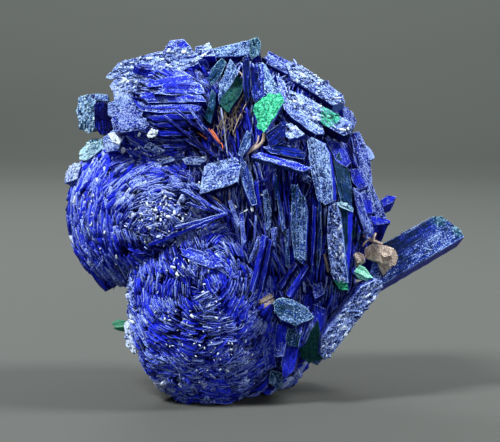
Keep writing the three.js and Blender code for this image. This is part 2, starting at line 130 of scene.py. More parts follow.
# Crystals that can be told apart, traced on their front face in the photograph's pixels. lift is
# how far the face clears the lobes, or its own depth where no lobe lies behind it. turn is how far
# the face turns to the right and up, in degrees, over the lobes' own slope. back is how far the
# back face is shifted in the photograph, with the crystal's depth in mm.
# look is the front's look and side the flanks'. Dark sides, navy and black, are partly the crystal's blue
# and partly painted shade where flanks lie in shadow.
Crystal = namedtuple("Crystal", "what corners lift turn back look side")
CRYSTALS = [Crystal(*row) for row in (
    ("top ridge slab", ((213, 50), (250, 41), (258, 43), (257, 54), (238, 58), (216, 59)),
     2.4, (0, 25), (1, 2, 4), "steel", "navy"),
    ("top ridge end", ((250, 42), (256, 39), (261, 43), (259, 56), (252, 61), (249, 56)),
     3.2, (25, 5), (0, 2, 4), "sea green", "navy"),
    ("top bed", ((198, 54), (250, 49), (260, 53), (262, 68), (204, 70)),
     -1.4, (0, 20), (0, 2, 5), "black", "black"),
    ("top block", ((196, 49), (210, 46), (216, 58), (197, 60)), 4.4, (0, 35), (1, 5, 3), "white", "blue"),
    ("top tip", ((162, 56), (170, 41), (184, 40), (191, 48), (188, 54), (171, 58)),
     2.0, (-10, 20), (2, 3, 3.5), "lavender", "navy"),
    ("tip's stripe", ((177, 48), (184, 41), (189, 46), (181, 53)),
     2.6, (15, 0), (0, 0, 1), "blue", "navy"),
    ("top left slab", ((115, 74), (121, 66), (160, 55), (190, 50), (198, 58), (170, 70), (120, 84)),
     0.4, (0, 10), (2, 5, 4), "white", "navy"),
    ("top left slab's front", ((136, 80), (170, 68), (197, 61), (200, 67), (185, 74), (140, 88)),
     0.8, (0, 15), (2, 4, 3), "white", "blue"),
    ("left crust 1", ((116, 88), (132, 80), (142, 86), (136, 100), (118, 104)),
     0.7, (-15, 10), (1, 3, 3), "white", "navy"),
    ("left crust 2", ((112, 106), (134, 100), (141, 110), (122, 124), (112, 118)),
     0.7, (-15, 5), (1, 3, 3), "frosted", "navy"),
    ("left crust 3", ((118, 126), (138, 112), (150, 124), (132, 134)),
     0.8, (-5, 10), (2, 4, 3), "lavender", "navy"),
    ("fan's blue band", ((148, 89), (165, 82), (190, 79), (196, 82), (180, 88), (152, 92)),
     0.8, (-5, 15), (1, 3, 2), "blue", "navy"),
    ("fan's facet", ((158, 99), (178, 88), (193, 84), (203, 89), (206, 97), (184, 100)),
     1.5, (5, 12), (0, 4, 2), "violet", "navy"),
    ("page 1", ((144, 100), (158, 96), (204, 100), (208, 106), (152, 107)),
     1.1, (-5, 15), (1, 5, 2), "page", "navy"),
    ("page's grey end", ((196, 101), (203, 100), (208, 107), (200, 108)),
     1.7, (5, 15), (0, 2, 1), "grey", "navy"),
    ("page 2", ((142, 114), (153, 109), (192, 109), (204, 111), (200, 116), (160, 117)),
     1.0, (-5, 15), (1, 4, 2), "page", "navy"),
    ("page 3", ((150, 121), (176, 118), (201, 119), (200, 123), (160, 125)),
     1.0, (-5, 10), (1, 4, 2), "blue", "navy"),
    ("page 4", ((156, 128), (180, 125), (202, 127), (198, 131), (170, 132)),
     0.9, (-5, 10), (1, 4, 2), "navy", "black"),
    ("page 5", ((143, 134), (160, 133), (196, 135), (190, 139), (160, 139)),
     0.8, (-5, 5), (1, 3, 2), "blue", "black"),
    ("left lower block", ((116, 124), (122, 112), (137, 109), (153, 128), (149, 133), (120, 136)),
     1.4, (-10, 5), (1, 3, 3), "lavender", "navy"),
    ("fan lath 1", ((190, 112), (192, 112), (214, 140), (224, 154), (222, 154), (209, 140)),
     1.7, (-20, 10), (2, 1, 1), "lavender", "black"),
    ("fan lath 2", ((166, 120), (168, 119), (217, 158), (214, 159)),
     1.1, (-10, 15), (1, 1, 1), "navy", "black"),
    ("fan lath 3", ((178, 115), (181, 114), (208, 136), (206, 138)),
     1.5, (-10, 15), (1, 1, 1), "navy", "black"),
    ("fan lath 4", ((185, 142), (188, 141), (215, 156), (213, 158)),
     1.3, (-10, 15), (1, 1, 1), "violet", "black"),
    ("grey facet", ((148, 148), (154, 145), (168, 153), (163, 157), (152, 153)),
     1.2, (-5, 15), (1, 1, 1), "stone", "navy"),
    ("grey green facet", ((160, 161), (176, 158), (178, 163), (164, 167)),
     1.4, (-5, 15), (1, 2, 1.2), "stone", "navy"),
    ("grey green facet 2", ((184, 161), (197, 158), (208, 162), (202, 167), (188, 166)),
     1.4, (-5, 20), (1, 2, 1.2), "stone", "navy"),
    ("left edge blade", ((80, 99), (88, 96), (98, 102), (99, 130), (92, 134), (82, 130), (79, 115)),
     4.2, (-15, 10), (9, -2, 3), "lichen", "black"),
    # A black crystal that fills the notch: partly a crystal lying behind, partly painted shade.
    ("bridge to it", ((98, 107), (106, 104), (119, 112), (120, 134), (104, 137), (98, 128)),
     2.4, (10, 0), (2, 0, 3), "black", "black"),
    ("left edge top", ((96, 101), (98, 95), (109, 96), (110, 103)),
     3.6, (10, 30), (0, 2, 3), "steel", "black"),
    ("pale left slab", ((82, 152), (95, 139), (104, 140), (106, 149), (89, 162), (82, 160)),
     4.6, (-10, 25), (3, 3, 3), "mint", "navy"),
    ("notch crust", ((106, 140), (119, 131), (128, 138), (122, 152), (110, 154)),
     1.2, (-10, 10), (2, 3, 4), "frosted", "navy"),
    ("left edge slab", ((67, 184), (69, 172), (77, 163), (84, 165), (80, 180)),
     3.2, (-25, 10), (4, 2, 3), "frosted", "navy"),
    ("upper teal blade", ((223, 61), (227, 66), (222, 78), (213, 89), (210, 84), (212, 73), (218, 65)),
     1.6, (15, 10), (-3, 2, 2.5), "teal", "blue"),
    ("middle teal blade", ((237, 79), (245, 87), (241, 98), (229, 117), (221, 109), (223, 101)),
     2.4, (25, -10), (2, 3, 3), "bottle green", "black"),
    ("middle teal blade's left face", ((231, 64), (236, 71), (238, 79), (220, 109), (219, 98), (225, 80)),
     2.4, (-25, 15), (-1, 1, 3), "steel", "navy"),
    ("lower teal blade", ((213, 92), (217, 98), (216, 112), (212, 128), (206, 122)),
     1.8, (-15, 10), (3, 2, 2), "teal", "navy"),
    ("blue upright blade", ((243, 63), (249, 60), (251, 92), (246, 108), (243, 90)),
     1.2, (-20, 0), (0, 0, 2), "ink", "black"),
    ("green ended crystal's left face",
     ((250, 71), (259, 66), (263, 68), (266, 99), (254, 108), (251, 92)),
     2.4, (-20, 0), (0, 0, 3), "ink", "black"),
    ("green ended crystal's right face", ((262, 66), (266, 70), (282, 99), (272, 101), (264, 98)),
     2.6, (20, 10), (2, 1, 3), "steel", "navy"),
    ("green end",
     ((254, 109), (263, 102), (279, 98), (283, 106), (273, 122), (263, 137), (258, 129), (253, 115)),
     2.5, (0, -4), (4, -1, 2), "green", "lavender"),
    ("strip beside it", ((275, 79), (284, 86), (292, 112), (286, 118)),
     2.6, (20, 10), (-2, 2, 2), "lavender", "navy"),
    ("ridge blade 1", ((268, 54), (278, 59), (298, 69), (300, 78), (286, 76), (266, 66)),
     1.6, (10, 15), (-1, 5, 3), "lavender", "navy"),
    ("ridge blade 2", ((285, 66), (300, 68), (341, 97), (343, 105), (331, 108), (290, 82)),
     1.9, (10, 15), (-1, 6, 3), "white", "navy"),
    ("its end", ((329, 103), (341, 97), (344, 105), (336, 112)), 2.6, (25, 0), (0, 0, 2), "blue", "navy"),
    ("ridge corner", ((341, 108), (351, 112), (356, 121), (353, 130), (343, 122)),
     2.2, (25, 10), (-2, 5, 3), "lavender", "blue"),
    ("patched blade", ((289, 95), (300, 98), (349, 126), (347, 139), (333, 134), (300, 119), (287, 107)),
     2.8, (10, 20), (-2, 7, 3.5), "white", "black"),
    ("patched blade's end", ((334, 129), (347, 123), (350, 131), (346, 142), (335, 138)),
     3.6, (25, 0), (0, 0, 2), "grey", "navy"),
    ("lower frosted blade", ((281, 100), (320, 128), (321, 137), (313, 138), (290, 121), (284, 113)),
     2.4, (0, 15), (-2, 5, 3), "frosted", "black"),
    ("small grey face", ((284, 128), (290, 126), (303, 138), (287, 143), (283, 137)),
     2.0, (0, 20), (1, 3, 2), "white", "violet"),
    ("tall speckled blade",
     ((305, 144), (309, 140), (322, 147), (326, 156), (329, 182),
      (329, 202), (322, 206), (314, 201), (308, 172)),
     2.6, (-8, 8), (4, -1, 3), "grey", "blue"),
    ("speckled shoulder", ((322, 140), (333, 141), (345, 155), (349, 164), (343, 168), (333, 163)),
     2.0, (20, 10), (1, 4, 2), "violet", "navy"),
    ("dull teal blade",
     ((331, 163), (336, 156), (346, 170), (350, 195), (348, 207), (339, 206), (333, 184)),
     1.8, (15, 0), (0, 0, 2), "dull teal", "black"),
    ("right edge blade",
     ((349, 134), (358, 132), (363, 141), (369, 162), (371, 182), (368, 192), (361, 181), (355, 164)),
     2.6, (20, 10), (-2, 4, 3), "lavender", "navy"),
    ("lower right edge blade", ((361, 183), (371, 184), (386, 218), (377, 217), (368, 206)),
     3.0, (20, 5), (-1, 4, 3), "lavender", "blue"),
    ("violet patch", ((347, 171), (358, 169), (366, 186), (357, 191), (350, 183)),
     2.2, (15, 5), (0, 3, 2), "violet", "navy"),
    ("violet lath", ((350, 189), (355, 189), (368, 226), (368, 233), (361, 231), (354, 209)),
     2.8, (10, 0), (-2, 2, 2), "lavender", "navy"),
    ("blue corner", ((360, 199), (369, 200), (371, 213), (364, 214)),
     3.0, (10, 10), (0, 2, 2), "bright blue", "navy"),
    ("right tip", ((380, 200), (386, 195), (396, 197), (392, 202), (383, 207)),
     1.6, (0, 20), (-2, 9, 2.5), "bright blue", "navy"),
    ("right wedge's top", ((368, 215), (388, 220), (389, 223), (373, 225)),
     3.6, (0, 35), (0, 3, 3), "bright blue", "navy"),
    ("right wedge", ((371, 224), (388, 222), (380, 242), (370, 237)),
     3.4, (10, -15), (0, 0, 3), "navy", "black"),
    ("grey green lath",
     ((289, 186), (294, 187), (303, 203), (305, 212), (303, 250), (300, 262), (292, 256), (289, 230)),
     2.2, (-12, 0), (2, 0, 2), "steel", "blue"),
    ("nested lath 1", ((304, 198), (309, 202), (313, 211), (312, 240), (309, 264), (305, 268)),
     1.8, (-15, 0), (0, 0, 2), "black", "navy"),
    ("nested lath 2", ((309, 195), (320, 205), (321, 214), (317, 262), (313, 267)),
     1.6, (-15, 0), (0, 0, 2), "black", "navy"),
    ("long frosted lath",
     ((325, 207), (333, 203), (337, 215), (345, 281), (337, 281), (330, 277), (326, 258), (324, 238)),
     3.2, (-5, 0), (3, 1, 2.5), "white", "steel"),
    ("its green foot", ((330, 278), (345, 281), (346, 289), (337, 287)),
     3.0, (0, -15), (0, 0, 2), "green", "black"),
    ("dark lath's left face", ((337, 209), (344, 207), (345, 240), (342, 262), (339, 232)),
     2.2, (-25, 0), (0, 0, 2), "dull teal", "black"),
    ("dark lath's right face", ((344, 207), (350, 210), (349, 240), (346, 278), (343, 262)),
     2.4, (25, 0), (0, 0, 2), "bright blue", "navy"),
    ("dark lath's top", ((332, 204), (338, 202), (350, 208), (349, 212), (338, 208)),
     2.8, (0, 40), (0, 1, 1.5), "mint", "navy"),
    ("lath below it", ((343, 262), (350, 256), (350, 284), (345, 293)),
     2.2, (10, 0), (0, 0, 2), "violet", "navy"),
    ("long right blade",
     ((372, 250), (380, 244), (431, 217), (441, 216), (459, 229), (463, 237), (378, 286), (368, 278)),
     2.4, (0, 12), (-5, 10, 4), "slate", "blue"),
    ("slanting frosted blade",
     ((371, 278), (378, 280), (377, 289), (369, 300), (333, 345),
      (323, 356), (318, 350), (319, 335), (358, 284)),
     7.6, (15, -5), (-4, -3, 3), "white", "violet"),
    ("dark green stub", ((305, 332), (316, 318), (322, 355), (311, 358), (300, 355), (298, 345)),
     0.4, (-20, -20), (0, -4, 5), "bottle green", "black"),
    ("lower middle plate",
     ((275, 296), (280, 294), (291, 296), (303, 303), (311, 313),
      (303, 317), (294, 321), (279, 315), (273, 306)),
     2.4, (5, 20), (0, 4, 2.5), "dusty teal", "navy"),
    ("lower blade 1", ((286, 325), (291, 324), (299, 331), (297, 342), (287, 340), (284, 334)),
     2.0, (10, 15), (1, 4, 2), "dusty teal", "blue"),
    ("lower blade 2", ((275, 320), (286, 321), (285, 346), (278, 352), (274, 340)),
     1.4, (-10, 5), (2, 1, 2), "blue", "navy"),
    ("lower blade 3", ((283, 343), (297, 344), (293, 366), (283, 372), (280, 360)),
     1.6, (10, 5), (2, 2, 2), "blue", "navy"),
    ("lower blade 4", ((262, 345), (274, 343), (275, 362), (265, 366)),
     1.2, (-5, 10), (2, 2, 2), "violet", "navy"),
    ("bottom block", ((270, 366), (282, 371), (281, 382), (277, 385), (268, 379)),
     2.0, (10, 0), (1, 2, 3), "dusty teal", "navy"),
    ("slanting lath 1", ((284, 291), (286, 287), (304, 262), (306, 265), (288, 294)),
     1.8, (-20, 10), (3, 2, 1.5), "blue", "navy"),
    ("slanting lath 2", ((276, 283), (278, 279), (293, 260), (295, 263), (280, 286)),
     1.5, (-20, 10), (3, 2, 1.5), "navy", "black"),
    ("small violet block", ((310, 283), (319, 280), (322, 291), (312, 296)),
     1.6, (0, 20), (1, 3, 2), "violet", "navy"),
    ("rim lath", ((261, 234), (265, 236), (256, 277), (252, 289), (250, 282)),
     1.2, (-30, 0), (3, 0, 1.5), "blue", "navy"),
    ("rim lath 2", ((268, 238), (271, 240), (262, 286), (258, 298), (257, 288)),
     1.0, (-30, 0), (3, 0, 1.5), "blue", "black"),
    ("corner plate",
     ((206, 170), (210, 166), (236, 160), (239, 163), (240, 176), (239, 184), (225, 189), (202, 195)),
     2.2, (-5, 15), (1, 3, 1.6), "frosted", "black"),
    ("plate's thin neighbour",
     ((241, 161), (246, 165), (252, 180), (257, 205), (252, 206), (246, 195), (241, 180)),
     1.8, (10, 5), (-2, 2, 1.5), "slate", "navy"),
    ("crossing lath", ((251, 160), (259, 155), (302, 168), (306, 172), (300, 174)),
     2.2, (0, 25), (1, 4, 1.5), "violet", "slate"),
    ("upper crossing lath", ((262, 150), (280, 146), (304, 156), (302, 162), (270, 156)),
     1.2, (0, 15), (0, 3, 1.5), "ink", "black"),
    ("steel upright", ((238, 158), (241, 148), (247, 134), (251, 138), (250, 150), (242, 160)),
     1.8, (-10, 10), (2, 1, 1.5), "steel", "navy"),
    ("dark facet", ((266, 137), (280, 126), (284, 131), (283, 146), (268, 150)),
     1.4, (0, -20), (0, 0, 2), "ink", "black"),
    ("white pebble", ((299, 177), (303, 175), (309, 181), (307, 186), (301, 183)),
     1.4, (0, 10), (0, 0, 1), "white", "navy"),
    ("cap plate", ((184, 252), (192, 246), (212, 252), (225, 264), (214, 266), (196, 260)),
     0.8, (0, 10), (0, 2, 1.2), "violet", "navy"),
    ("cap plate 2", ((206, 250), (214, 250), (229, 262), (238, 275), (231, 275)),
     0.7, (5, 5), (0, 2, 1.2), "page", "navy"),
    # Bright flecks: white grains, partly painted glints.
    ("bright fleck 1", ((112, 136), (118, 134), (126, 141), (123, 147), (116, 144)),
     2.2, (0, 10), (0, 0, 1), "snow", "navy"),
    ("bright fleck 2", ((151, 139), (154, 134), (162, 134), (160, 139), (153, 142)),
     1.4, (0, 10), (0, 0, 1), "snow", "navy"),
    ("bright fleck 4", ((123, 150), (127, 148), (129, 152), (125, 156)),
     1.4, (0, 0), (0, 0, 1), "snow", "navy"),
    ("point's upper edge", ((197, 186), (200, 185), (229, 212), (228, 214)),
     1.5, (-5, 10), (0, 0, 1), "page", "black"),
    ("point's upper line", ((184, 192), (187, 190), (227, 213), (225, 215)),
     1.3, (-5, 10), (0, 0, 1), "violet", "black"),
    ("point's middle line", ((188, 205), (190, 203), (224, 213), (223, 216)),
     1.3, (-5, 0), (0, 0, 1), "navy", "black"),
    ("point's lower line", ((178, 226), (180, 229), (226, 216), (226, 213)),
     1.3, (-5, -10), (0, 0, 1), "page", "black"),
    ("point's lower edge", ((152, 243), (155, 246), (229, 215), (228, 213)),
     1.3, (-5, -10), (0, 0, 1), "blue", "black"),
    ("left fringe", ((126, 322), (133, 316), (138, 340), (136, 352), (128, 344)),
     5.4, (-20, 0), (2, 0, 2), "white", "navy"),
    ("curtain lath 1", ((262, 192), (266, 191), (271, 212), (269, 231), (265, 229)),
     1.1, (10, 0), (0, 0, 1.2), "grey", "navy"),
    ("curtain lath 2", ((275, 196), (278, 195), (284, 228), (281, 232)),
     1.1, (-10, 0), (0, 0, 1.2), "slate", "navy"),
    ("curtain lath 3", ((252, 189), (258, 182), (260, 205), (256, 212)),
     1.2, (-15, 0), (0, 0, 1.2), "blue", "navy"),
    ("curtain lath 4", ((263, 174), (268, 173), (271, 192), (267, 195)),
     1.0, (-15, 0), (0, 0, 1.2), "navy", "black"),
    ("curtain lath 5", ((272, 178), (276, 177), (279, 199), (274, 201)),
     1.0, (15, 0), (0, 0, 1.2), "slate", "navy"),
    ("curtain lath 6", ((270, 228), (276, 227), (274, 246), (271, 244)),
     1.3, (5, 5), (0, 0, 1.2), "lavender", "navy"),
    ("curtain lath 7", ((257, 236), (260, 237), (251, 260), (248, 261)),
     1.4, (-20, 0), (1, 0, 1.2), "lavender", "navy"),
    ("curtain lath 8", ((284, 230), (287, 229), (288, 262), (284, 265)),
     1.2, (-15, 0), (0, 0, 1.2), "steel", "navy"),
    ("curtain lath 9", ((240, 214), (244, 212), (246, 240), (242, 247)),
     1.3, (10, 0), (0, 0, 1.2), "violet", "navy"),
    ("curtain lath 10", ((229, 202), (233, 201), (241, 224), (238, 228)),
     1.3, (10, 0), (0, 0, 1.2), "lavender", "navy"),
    ("nested lath 3", ((315, 204), (318, 203), (319, 240), (316, 266), (314, 264)),
     2.3, (-15, 0), (0, 0, 1.2), "slate", "black"),
    ("nested lath 4", ((310, 205), (313, 208), (312, 240), (310, 264), (308, 264)),
     2.4, (-15, 0), (0, 0, 1.2), "blue", "black"),
)]

# White flecks, partly white grains and partly painted glints of cleaved ends: middle and size in the
# photograph's pixels.
FLECKS = [
    (119, 141, 9), (117, 138, 6), (156, 137, 8), (143, 137, 5), (126, 150, 5), (108, 170, 4),
    (101, 181, 4), (98, 196, 3),
    (120, 256, 4), (119, 262, 4), (178, 258, 4), (177, 265, 5), (181, 272, 4), (174, 251, 3), (195, 311, 4),
    (152, 205, 4), (160, 211, 4), (168, 208, 3), (172, 217, 4), (165, 220, 3), (178, 213, 4), (186, 219, 3),
    (155, 228, 3), (146, 214, 3), (190, 226, 3), (131, 226, 3), (167, 256, 3), (246, 211, 4), (252, 210, 4),
    (236, 207, 4), (262, 196, 4), (276, 186, 3), (206, 160, 5), (201, 185, 4), (132, 350, 4), (127, 341, 4),
    (138, 364, 4), (268, 366, 5), (96, 224, 3), (88, 246, 3), (109, 232, 3), (120, 205, 3), (84, 262, 4),
]

# Flecks under this size, in pixels, are duller.
DULL_FLECK = 3.3

# Where smaller flecks are strewn: middle, half sizes and count.
FLECK_FIELDS = [
    (166, 220, 34, 26, 60), (90, 205, 16, 50, 60), (184, 262, 18, 14, 20),
    (200, 330, 52, 50, 60), (150, 156, 44, 16, 40), (135, 345, 8, 26, 24),
]

# Blades that shingle the sides, crown, back and underside.
Shingles = namedtuple("Shingles", "lobe count size clear_of_face")
SHINGLES = [
    Shingles("body", 86, (8.4, 3.6, 1.3), 0.3),
    Shingles("back_right_lobe", 46, (7.6, 3.2, 1.2), -0.15),
    Shingles("back_foot", 38, (6.6, 3.2, 1.1), -0.1),
    Shingles("lower_right_lobe", 26, (4.8, 2.4, 1.0), 0.9),
    Shingles("upper_left_lobe", 30, (5.6, 2.8, 1.0), 0.35),
    Shingles("crown", 36, (6.4, 3.0, 1.2), -0.12),
]

SHINGLE_LOOKS = ("frosted", "blue", "navy", "grey", "violet", "steel")
LAYERS = 4

GOLDEN = math.pi * (3 - math.sqrt(5))


def chance(i, k):
    """A repeatable number from 0 to 1 for item i and choice k."""
    wave = math.sin(i * 12.9898 + k * 78.233) * 43758.5453
    return wave - math.floor(wave)


def either(i, k):
    return 2 * chance(i, k) - 1


def at_pixel(x, y):
    """u and v of a point of the photograph."""
    return (x - MIDDLE_PX) * PIXEL_MM, (FOOT_PX - y) * PIXEL_MM


def world(points):
    """Metres in the part's own frame, of points in the face."""
    return np.asarray(points) @ FACE.T * MM


def unit(vectors):
    vectors = np.asarray(vectors, dtype=float)
    return vectors / np.maximum(np.linalg.norm(vectors, axis=-1, keepdims=True), 1e-9)


def noise(points, scale, seed):
    """Smooth noise from -1 to 1 whose bumps are about scale across."""
    spot = points / scale + seed * 7.31
    cell = np.floor(spot)
    part = spot - cell
    part = part * part * (3 - 2 * part)
    total = np.zeros(len(points))
    for corner in itertools.product((0, 1), repeat=3):
        wave = np.sin((cell + corner) @ np.array([127.1, 311.7, 74.7])) * 43758.5453
        weight = np.where(np.array(corner) == 1, part, 1 - part).prod(axis=1)
        total += (2 * (wave - np.floor(wave)) - 1) * weight
    return total


def spun(axis, degrees):
    """The matrix of a turn about an axis."""
    x, y, z = unit(axis)
    c = math.cos(math.radians(degrees))
    s = math.sin(math.radians(degrees))
    cross = np.array([[0, -z, y], [z, 0, -x], [-y, x, 0]])
    return c * np.eye(3) + s * cross + (1 - c) * np.outer((x, y, z), (x, y, z))


def skin(u, v):
    """How far out of the face the lobes reach at u, v."""
    reach = 0.0
    for at, half in LOBES.values():
        inside = 1 - ((u - at[0]) / half[0]) ** 2 - ((v - at[1]) / half[1]) ** 2
        if inside > 0:
            reach = max(reach, at[2] + half[2] * math.sqrt(inside))
    return reach


def buried(places, own, share=0.9):
    """Which points lie well inside some lobe that isn't their own."""
    hidden = np.zeros(len(places), dtype=bool)
    for name, (at, half) in LOBES.items():
        if name != own:
            hidden |= (((places - at) / half) ** 2).sum(axis=1) < share
    return hidden


def on_lobe(lobe, directions):
    """The points of a lobe in some directions from its middle, and the way it faces there."""
    at, half = np.array(lobe.at), np.array(lobe.half)
    return at + directions * half, unit(directions / half)


def spiral(count):
    """Directions spread evenly all round, on a golden spiral about the v axis."""
    i = np.arange(count)
    height = 1 - (2 * (i + 0.5)) / count
    ring = np.sqrt(1 - height * height)
    return np.stack([ring * np.cos(GOLDEN * i), height, ring * np.sin(GOLDEN * i)], axis=1)


def aimed(along, across):
    """Axes as columns: x along, y as near across as it can be."""
    x = unit(along)
    z = unit(np.cross(x, across))
    return np.stack([x, np.cross(z, x), z], axis=-1)


# Modelling in edit mode.

# rim is 1 on edges and 0 at a plate's root, and side marks a crystal's flanks. rim drives painted root shade
# and edge lines that are partly painted highlight.
Habit = namedtuple("Habit", "points faces rim side")
FACE_RIM = 0.86


def cube(size):
    """A cube of a size, left in edit mode with nothing else selected."""
    bpy.ops.object.select_all(action="DESELECT")
    bpy.ops.mesh.primitive_cube_add(size=1)
    made = bpy.context.object
    bpy.ops.object.mode_set(mode="EDIT")
    bpy.ops.mesh.select_all(action="SELECT")
    bpy.ops.transform.resize(value=size)
    return made


def divide(made, axis, cuts):
    """Cuts all the edges that run along an axis into even parts."""
    if cuts < 1:
        return
    bpy.ops.mesh.select_all(action="DESELECT")
    bpy.ops.mesh.select_mode(type="EDGE")
    shape = bmesh.from_edit_mesh(made.data)
    for edge in shape.edges:
        run = (edge.verts[0].co - edge.verts[1].co).normalized()
        edge.select_set(abs(run[axis]) > 0.99)
    bpy.ops.mesh.subdivide(number_cuts=cuts)


def trim(place, outward):
    """Cuts off what lies beyond a plane and closes the cut."""
    bpy.ops.mesh.select_all(action="SELECT")
    bpy.ops.mesh.bisect(plane_co=place, plane_no=outward, use_fill=True, clear_outer=True)


def bevel_sharp(offset, sharpness=0.6):
    bpy.ops.mesh.select_mode(type="EDGE")
    bpy.ops.mesh.select_all(action="DESELECT")
    bpy.ops.mesh.edges_select_sharp(sharpness=sharpness)
    bpy.ops.mesh.bevel(offset=offset, segments=1, affect="EDGES")


def taken(made):
    """The finished shape as arrays of points and triangles. Its object is removed."""
    bpy.ops.mesh.select_all(action="SELECT")
    bpy.ops.mesh.normals_make_consistent(inside=False)
    bpy.ops.mesh.quads_convert_to_tris(quad_method="BEAUTY", ngon_method="BEAUTY")
    bpy.ops.object.mode_set(mode="OBJECT")
    mesh = made.data
    points = np.empty(len(mesh.vertices) * 3)
    mesh.vertices.foreach_get("co", points)
    faces = np.empty(len(mesh.polygons) * 3, dtype=np.int64)
    mesh.polygons.foreach_get("vertices", faces)
    bpy.data.objects.remove(made)
    bpy.data.meshes.remove(mesh)
    return points.reshape(-1, 3), faces.reshape(-1, 3)


def plate_habit(seed, cuts=3, ragged=0.16):
    """A thin plate of unit size: root at -y, ragged outer edge at +y, thickness on z."""
    made = cube((1, 1, 1))
    divide(made, 0, cuts)
    points, faces = taken(made)
    outer = points[:, 1] > 0
    column = np.round((points[:, 0] + 0.5) * (cuts + 1)).astype(int)
    drop = np.array([chance(seed * 10 + c, 3) for c in range(cuts + 2)]) * ragged
    drop[[0, -1]] += 0.5 * ragged
    points[outer, 1] -= drop[column[outer]]
    points[:, 0] += 0.12 * either(seed, 5) * points[:, 1]
    return Habit(points, faces, 0.97 * outer, np.zeros(len(points), dtype=bool))


def prism(outline, thickness, step, bevel, rough, seed):
    """A crystal with a convex outline, front at z = 0, and narrow bevels that are its rims."""
    low, high = outline.min(axis=0), outline.max(axis=0)
    shift = np.array([*(low + high) / 2, -thickness / 2])
    size = (*(high - low + 0.2), thickness)
    made = cube(size)
    for axis in range(3):
        divide(made, axis, int(size[axis] / step))
    outwards = []
    for first, last in zip(outline, np.roll(outline, -1, axis=0)):
        outward = unit([last[1] - first[1], first[0] - last[0], 0])
        outward *= np.sign(outward[:2] @ (first - outline.mean(axis=0)))
        outwards.append(outward)
        trim(Vector((*first, 0)) - Vector((*shift[:2], 0)), Vector(outward))
    bevel_sharp(bevel)
    points, faces = taken(made)
    corners = points[faces]
    facing = unit(np.cross(corners[:, 1] - corners[:, 0], corners[:, 2] - corners[:, 0]))
    sideways = (facing @ np.array(outwards).T).max(axis=1) > 0.97
    rim = (np.abs(facing[:, 2]) < 0.97) & ~sideways
    waves = [noise(points, scale, seed + k) for k, scale in ((7, 0.8), (8, 0.8), (9, 0.5))]
    uneven = np.stack(waves, axis=1)
    points += shift + uneven * (2.2 * rough, 2.2 * rough, rough)
    grooves = np.sign(noise(points * (0.1, 1, 0.2), 0.7, seed + 3))
    points[:, 2] += 1.6 * rough * grooves * (points[:, 2] > -0.05)
    loose = np.arange(faces.size).reshape(-1, 3)
    height = np.where(rim, 1.0, FACE_RIM)
    return Habit(points[faces].reshape(-1, 3), loose, np.repeat(height, 3), np.repeat(sideways, 3))


def slab_habit(seed):
    """A slab of unit size with straight sides and oblique ends."""
    slants = [0.08 + 0.14 * chance(seed, k) for k in range(4)]
    flip = 1 if chance(seed, 9) > 0.5 else -1
    outline = np.array([
        (-0.5, -0.5 * flip),
        (0.5 - slants[0], -0.5 * flip),
        (0.5, (slants[1] - 0.1) * flip),
        (0.5 - slants[2] / 2, 0.5 * flip),
        (-0.5 + slants[3], 0.5 * flip),
    ])
    return prism(outline, 1, 0.35, 0.025, 0.0, seed)


def looked(habit, count, looks, sides):
    """The look and stain of every point of some copies of a habit."""
    n = len(habit.points)
    face = [np.repeat(np.broadcast_to(x, count), n) for x in looks]
    side = [np.repeat(np.broadcast_to(x, count), n) for x in sides]
    which = np.tile(habit.side, count)
    tone, frost, teal, green = (np.where(which, b, a) for a, b in zip(face, side))
    look = np.stack([tone, frost, np.tile(habit.rim, count)], axis=1)
    return look, np.stack([teal, green, 0 * teal], axis=1)


def repeated(faces, count, n):
    """The faces of some copies that follow one another, each with n points."""
    return (faces[None] + np.arange(count)[:, None, None] * n).reshape(-1, 3)


class Growth:
    """Crystals gathered into one mesh, each with looks of its own."""

    def __init__(self):
        self.points = []
        self.faces = []
        self.looks = []
        self.stains = []
        self.locals = []
        self.total = 0

    def put(self, points, faces, local, looks, stains):
        """One batch of finished points and triangles."""
        self.points.append(points)
        self.faces.append(faces + self.total)
        self.locals.append(local)
        self.looks.append(looks)
        self.stains.append(stains)
        self.total += len(points)

    def add(self, habit, axes, places, sizes, looks, sides=None, bow=None):
        """Copies of one habit, each with its axes, place, size and looks."""
        count = len(places)
        n = len(habit.points)
        shaped = habit.points[None] * np.asarray(sizes, dtype=float)[:, None]
        strewn = 40 * np.random.default_rng(self.total).random((count, 1, 3))
        local = (shaped + strewn).reshape(-1, 3)
        if bow is not None:
            shaped[..., 2] += bow[:, None] * (shaped[..., 0] ** 2)
        points = np.einsum("nij,nkj->nki", axes, shaped) + np.asarray(places)[:, None]
        look, stain = looked(habit, count, looks, sides or looks)
        self.put(points.reshape(-1, 3), repeated(habit.faces, count, n), local, look, stain)

    def build(self, name, material, node="azurite_cluster"):
        """The gathered crystals as one piece, cut off flat at the scar."""
        points = np.concatenate(self.points)
        faces = np.concatenate(self.faces)
        looks = np.concatenate(self.looks)
        # Where the amount is below 0 it is painted shade: the blue darkens and the frosting thins.
        extra_frost_and_shade = frost_and_painted_shade(points)
        looks[:, 0] += np.minimum(extra_frost_and_shade, 0)
        looks[:, 1] += extra_frost_and_shade
        stains = np.clip(np.concatenate(self.stains) + stained(points), 0, 1)
        places = world(points)
        places[:, 2] = np.maximum(places[:, 2], 0)
        mesh = bpy.data.meshes.new(name)
        mesh.vertices.add(len(places))
        mesh.vertices.foreach_set("co", places.ravel())
        mesh.loops.add(faces.size)
        mesh.loops.foreach_set("vertex_index", faces.ravel())
        mesh.polygons.add(len(faces))
        mesh.polygons.foreach_set("loop_start", np.arange(len(faces)) * 3)
        mesh.update(calc_edges=True)
        mesh.validate()
        for label, values in (("look", looks), ("stain", stains), ("local", np.concatenate(self.locals))):
            field = mesh.attributes.new(label, "FLOAT_VECTOR", "POINT")
            field.data.foreach_set("vector", values.ravel())
        mesh.materials.append(material)
        made = bpy.data.objects.new(name, mesh)
        bpy.context.scene.collection.objects.link(made)
        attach(made, "root")
        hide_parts(node)


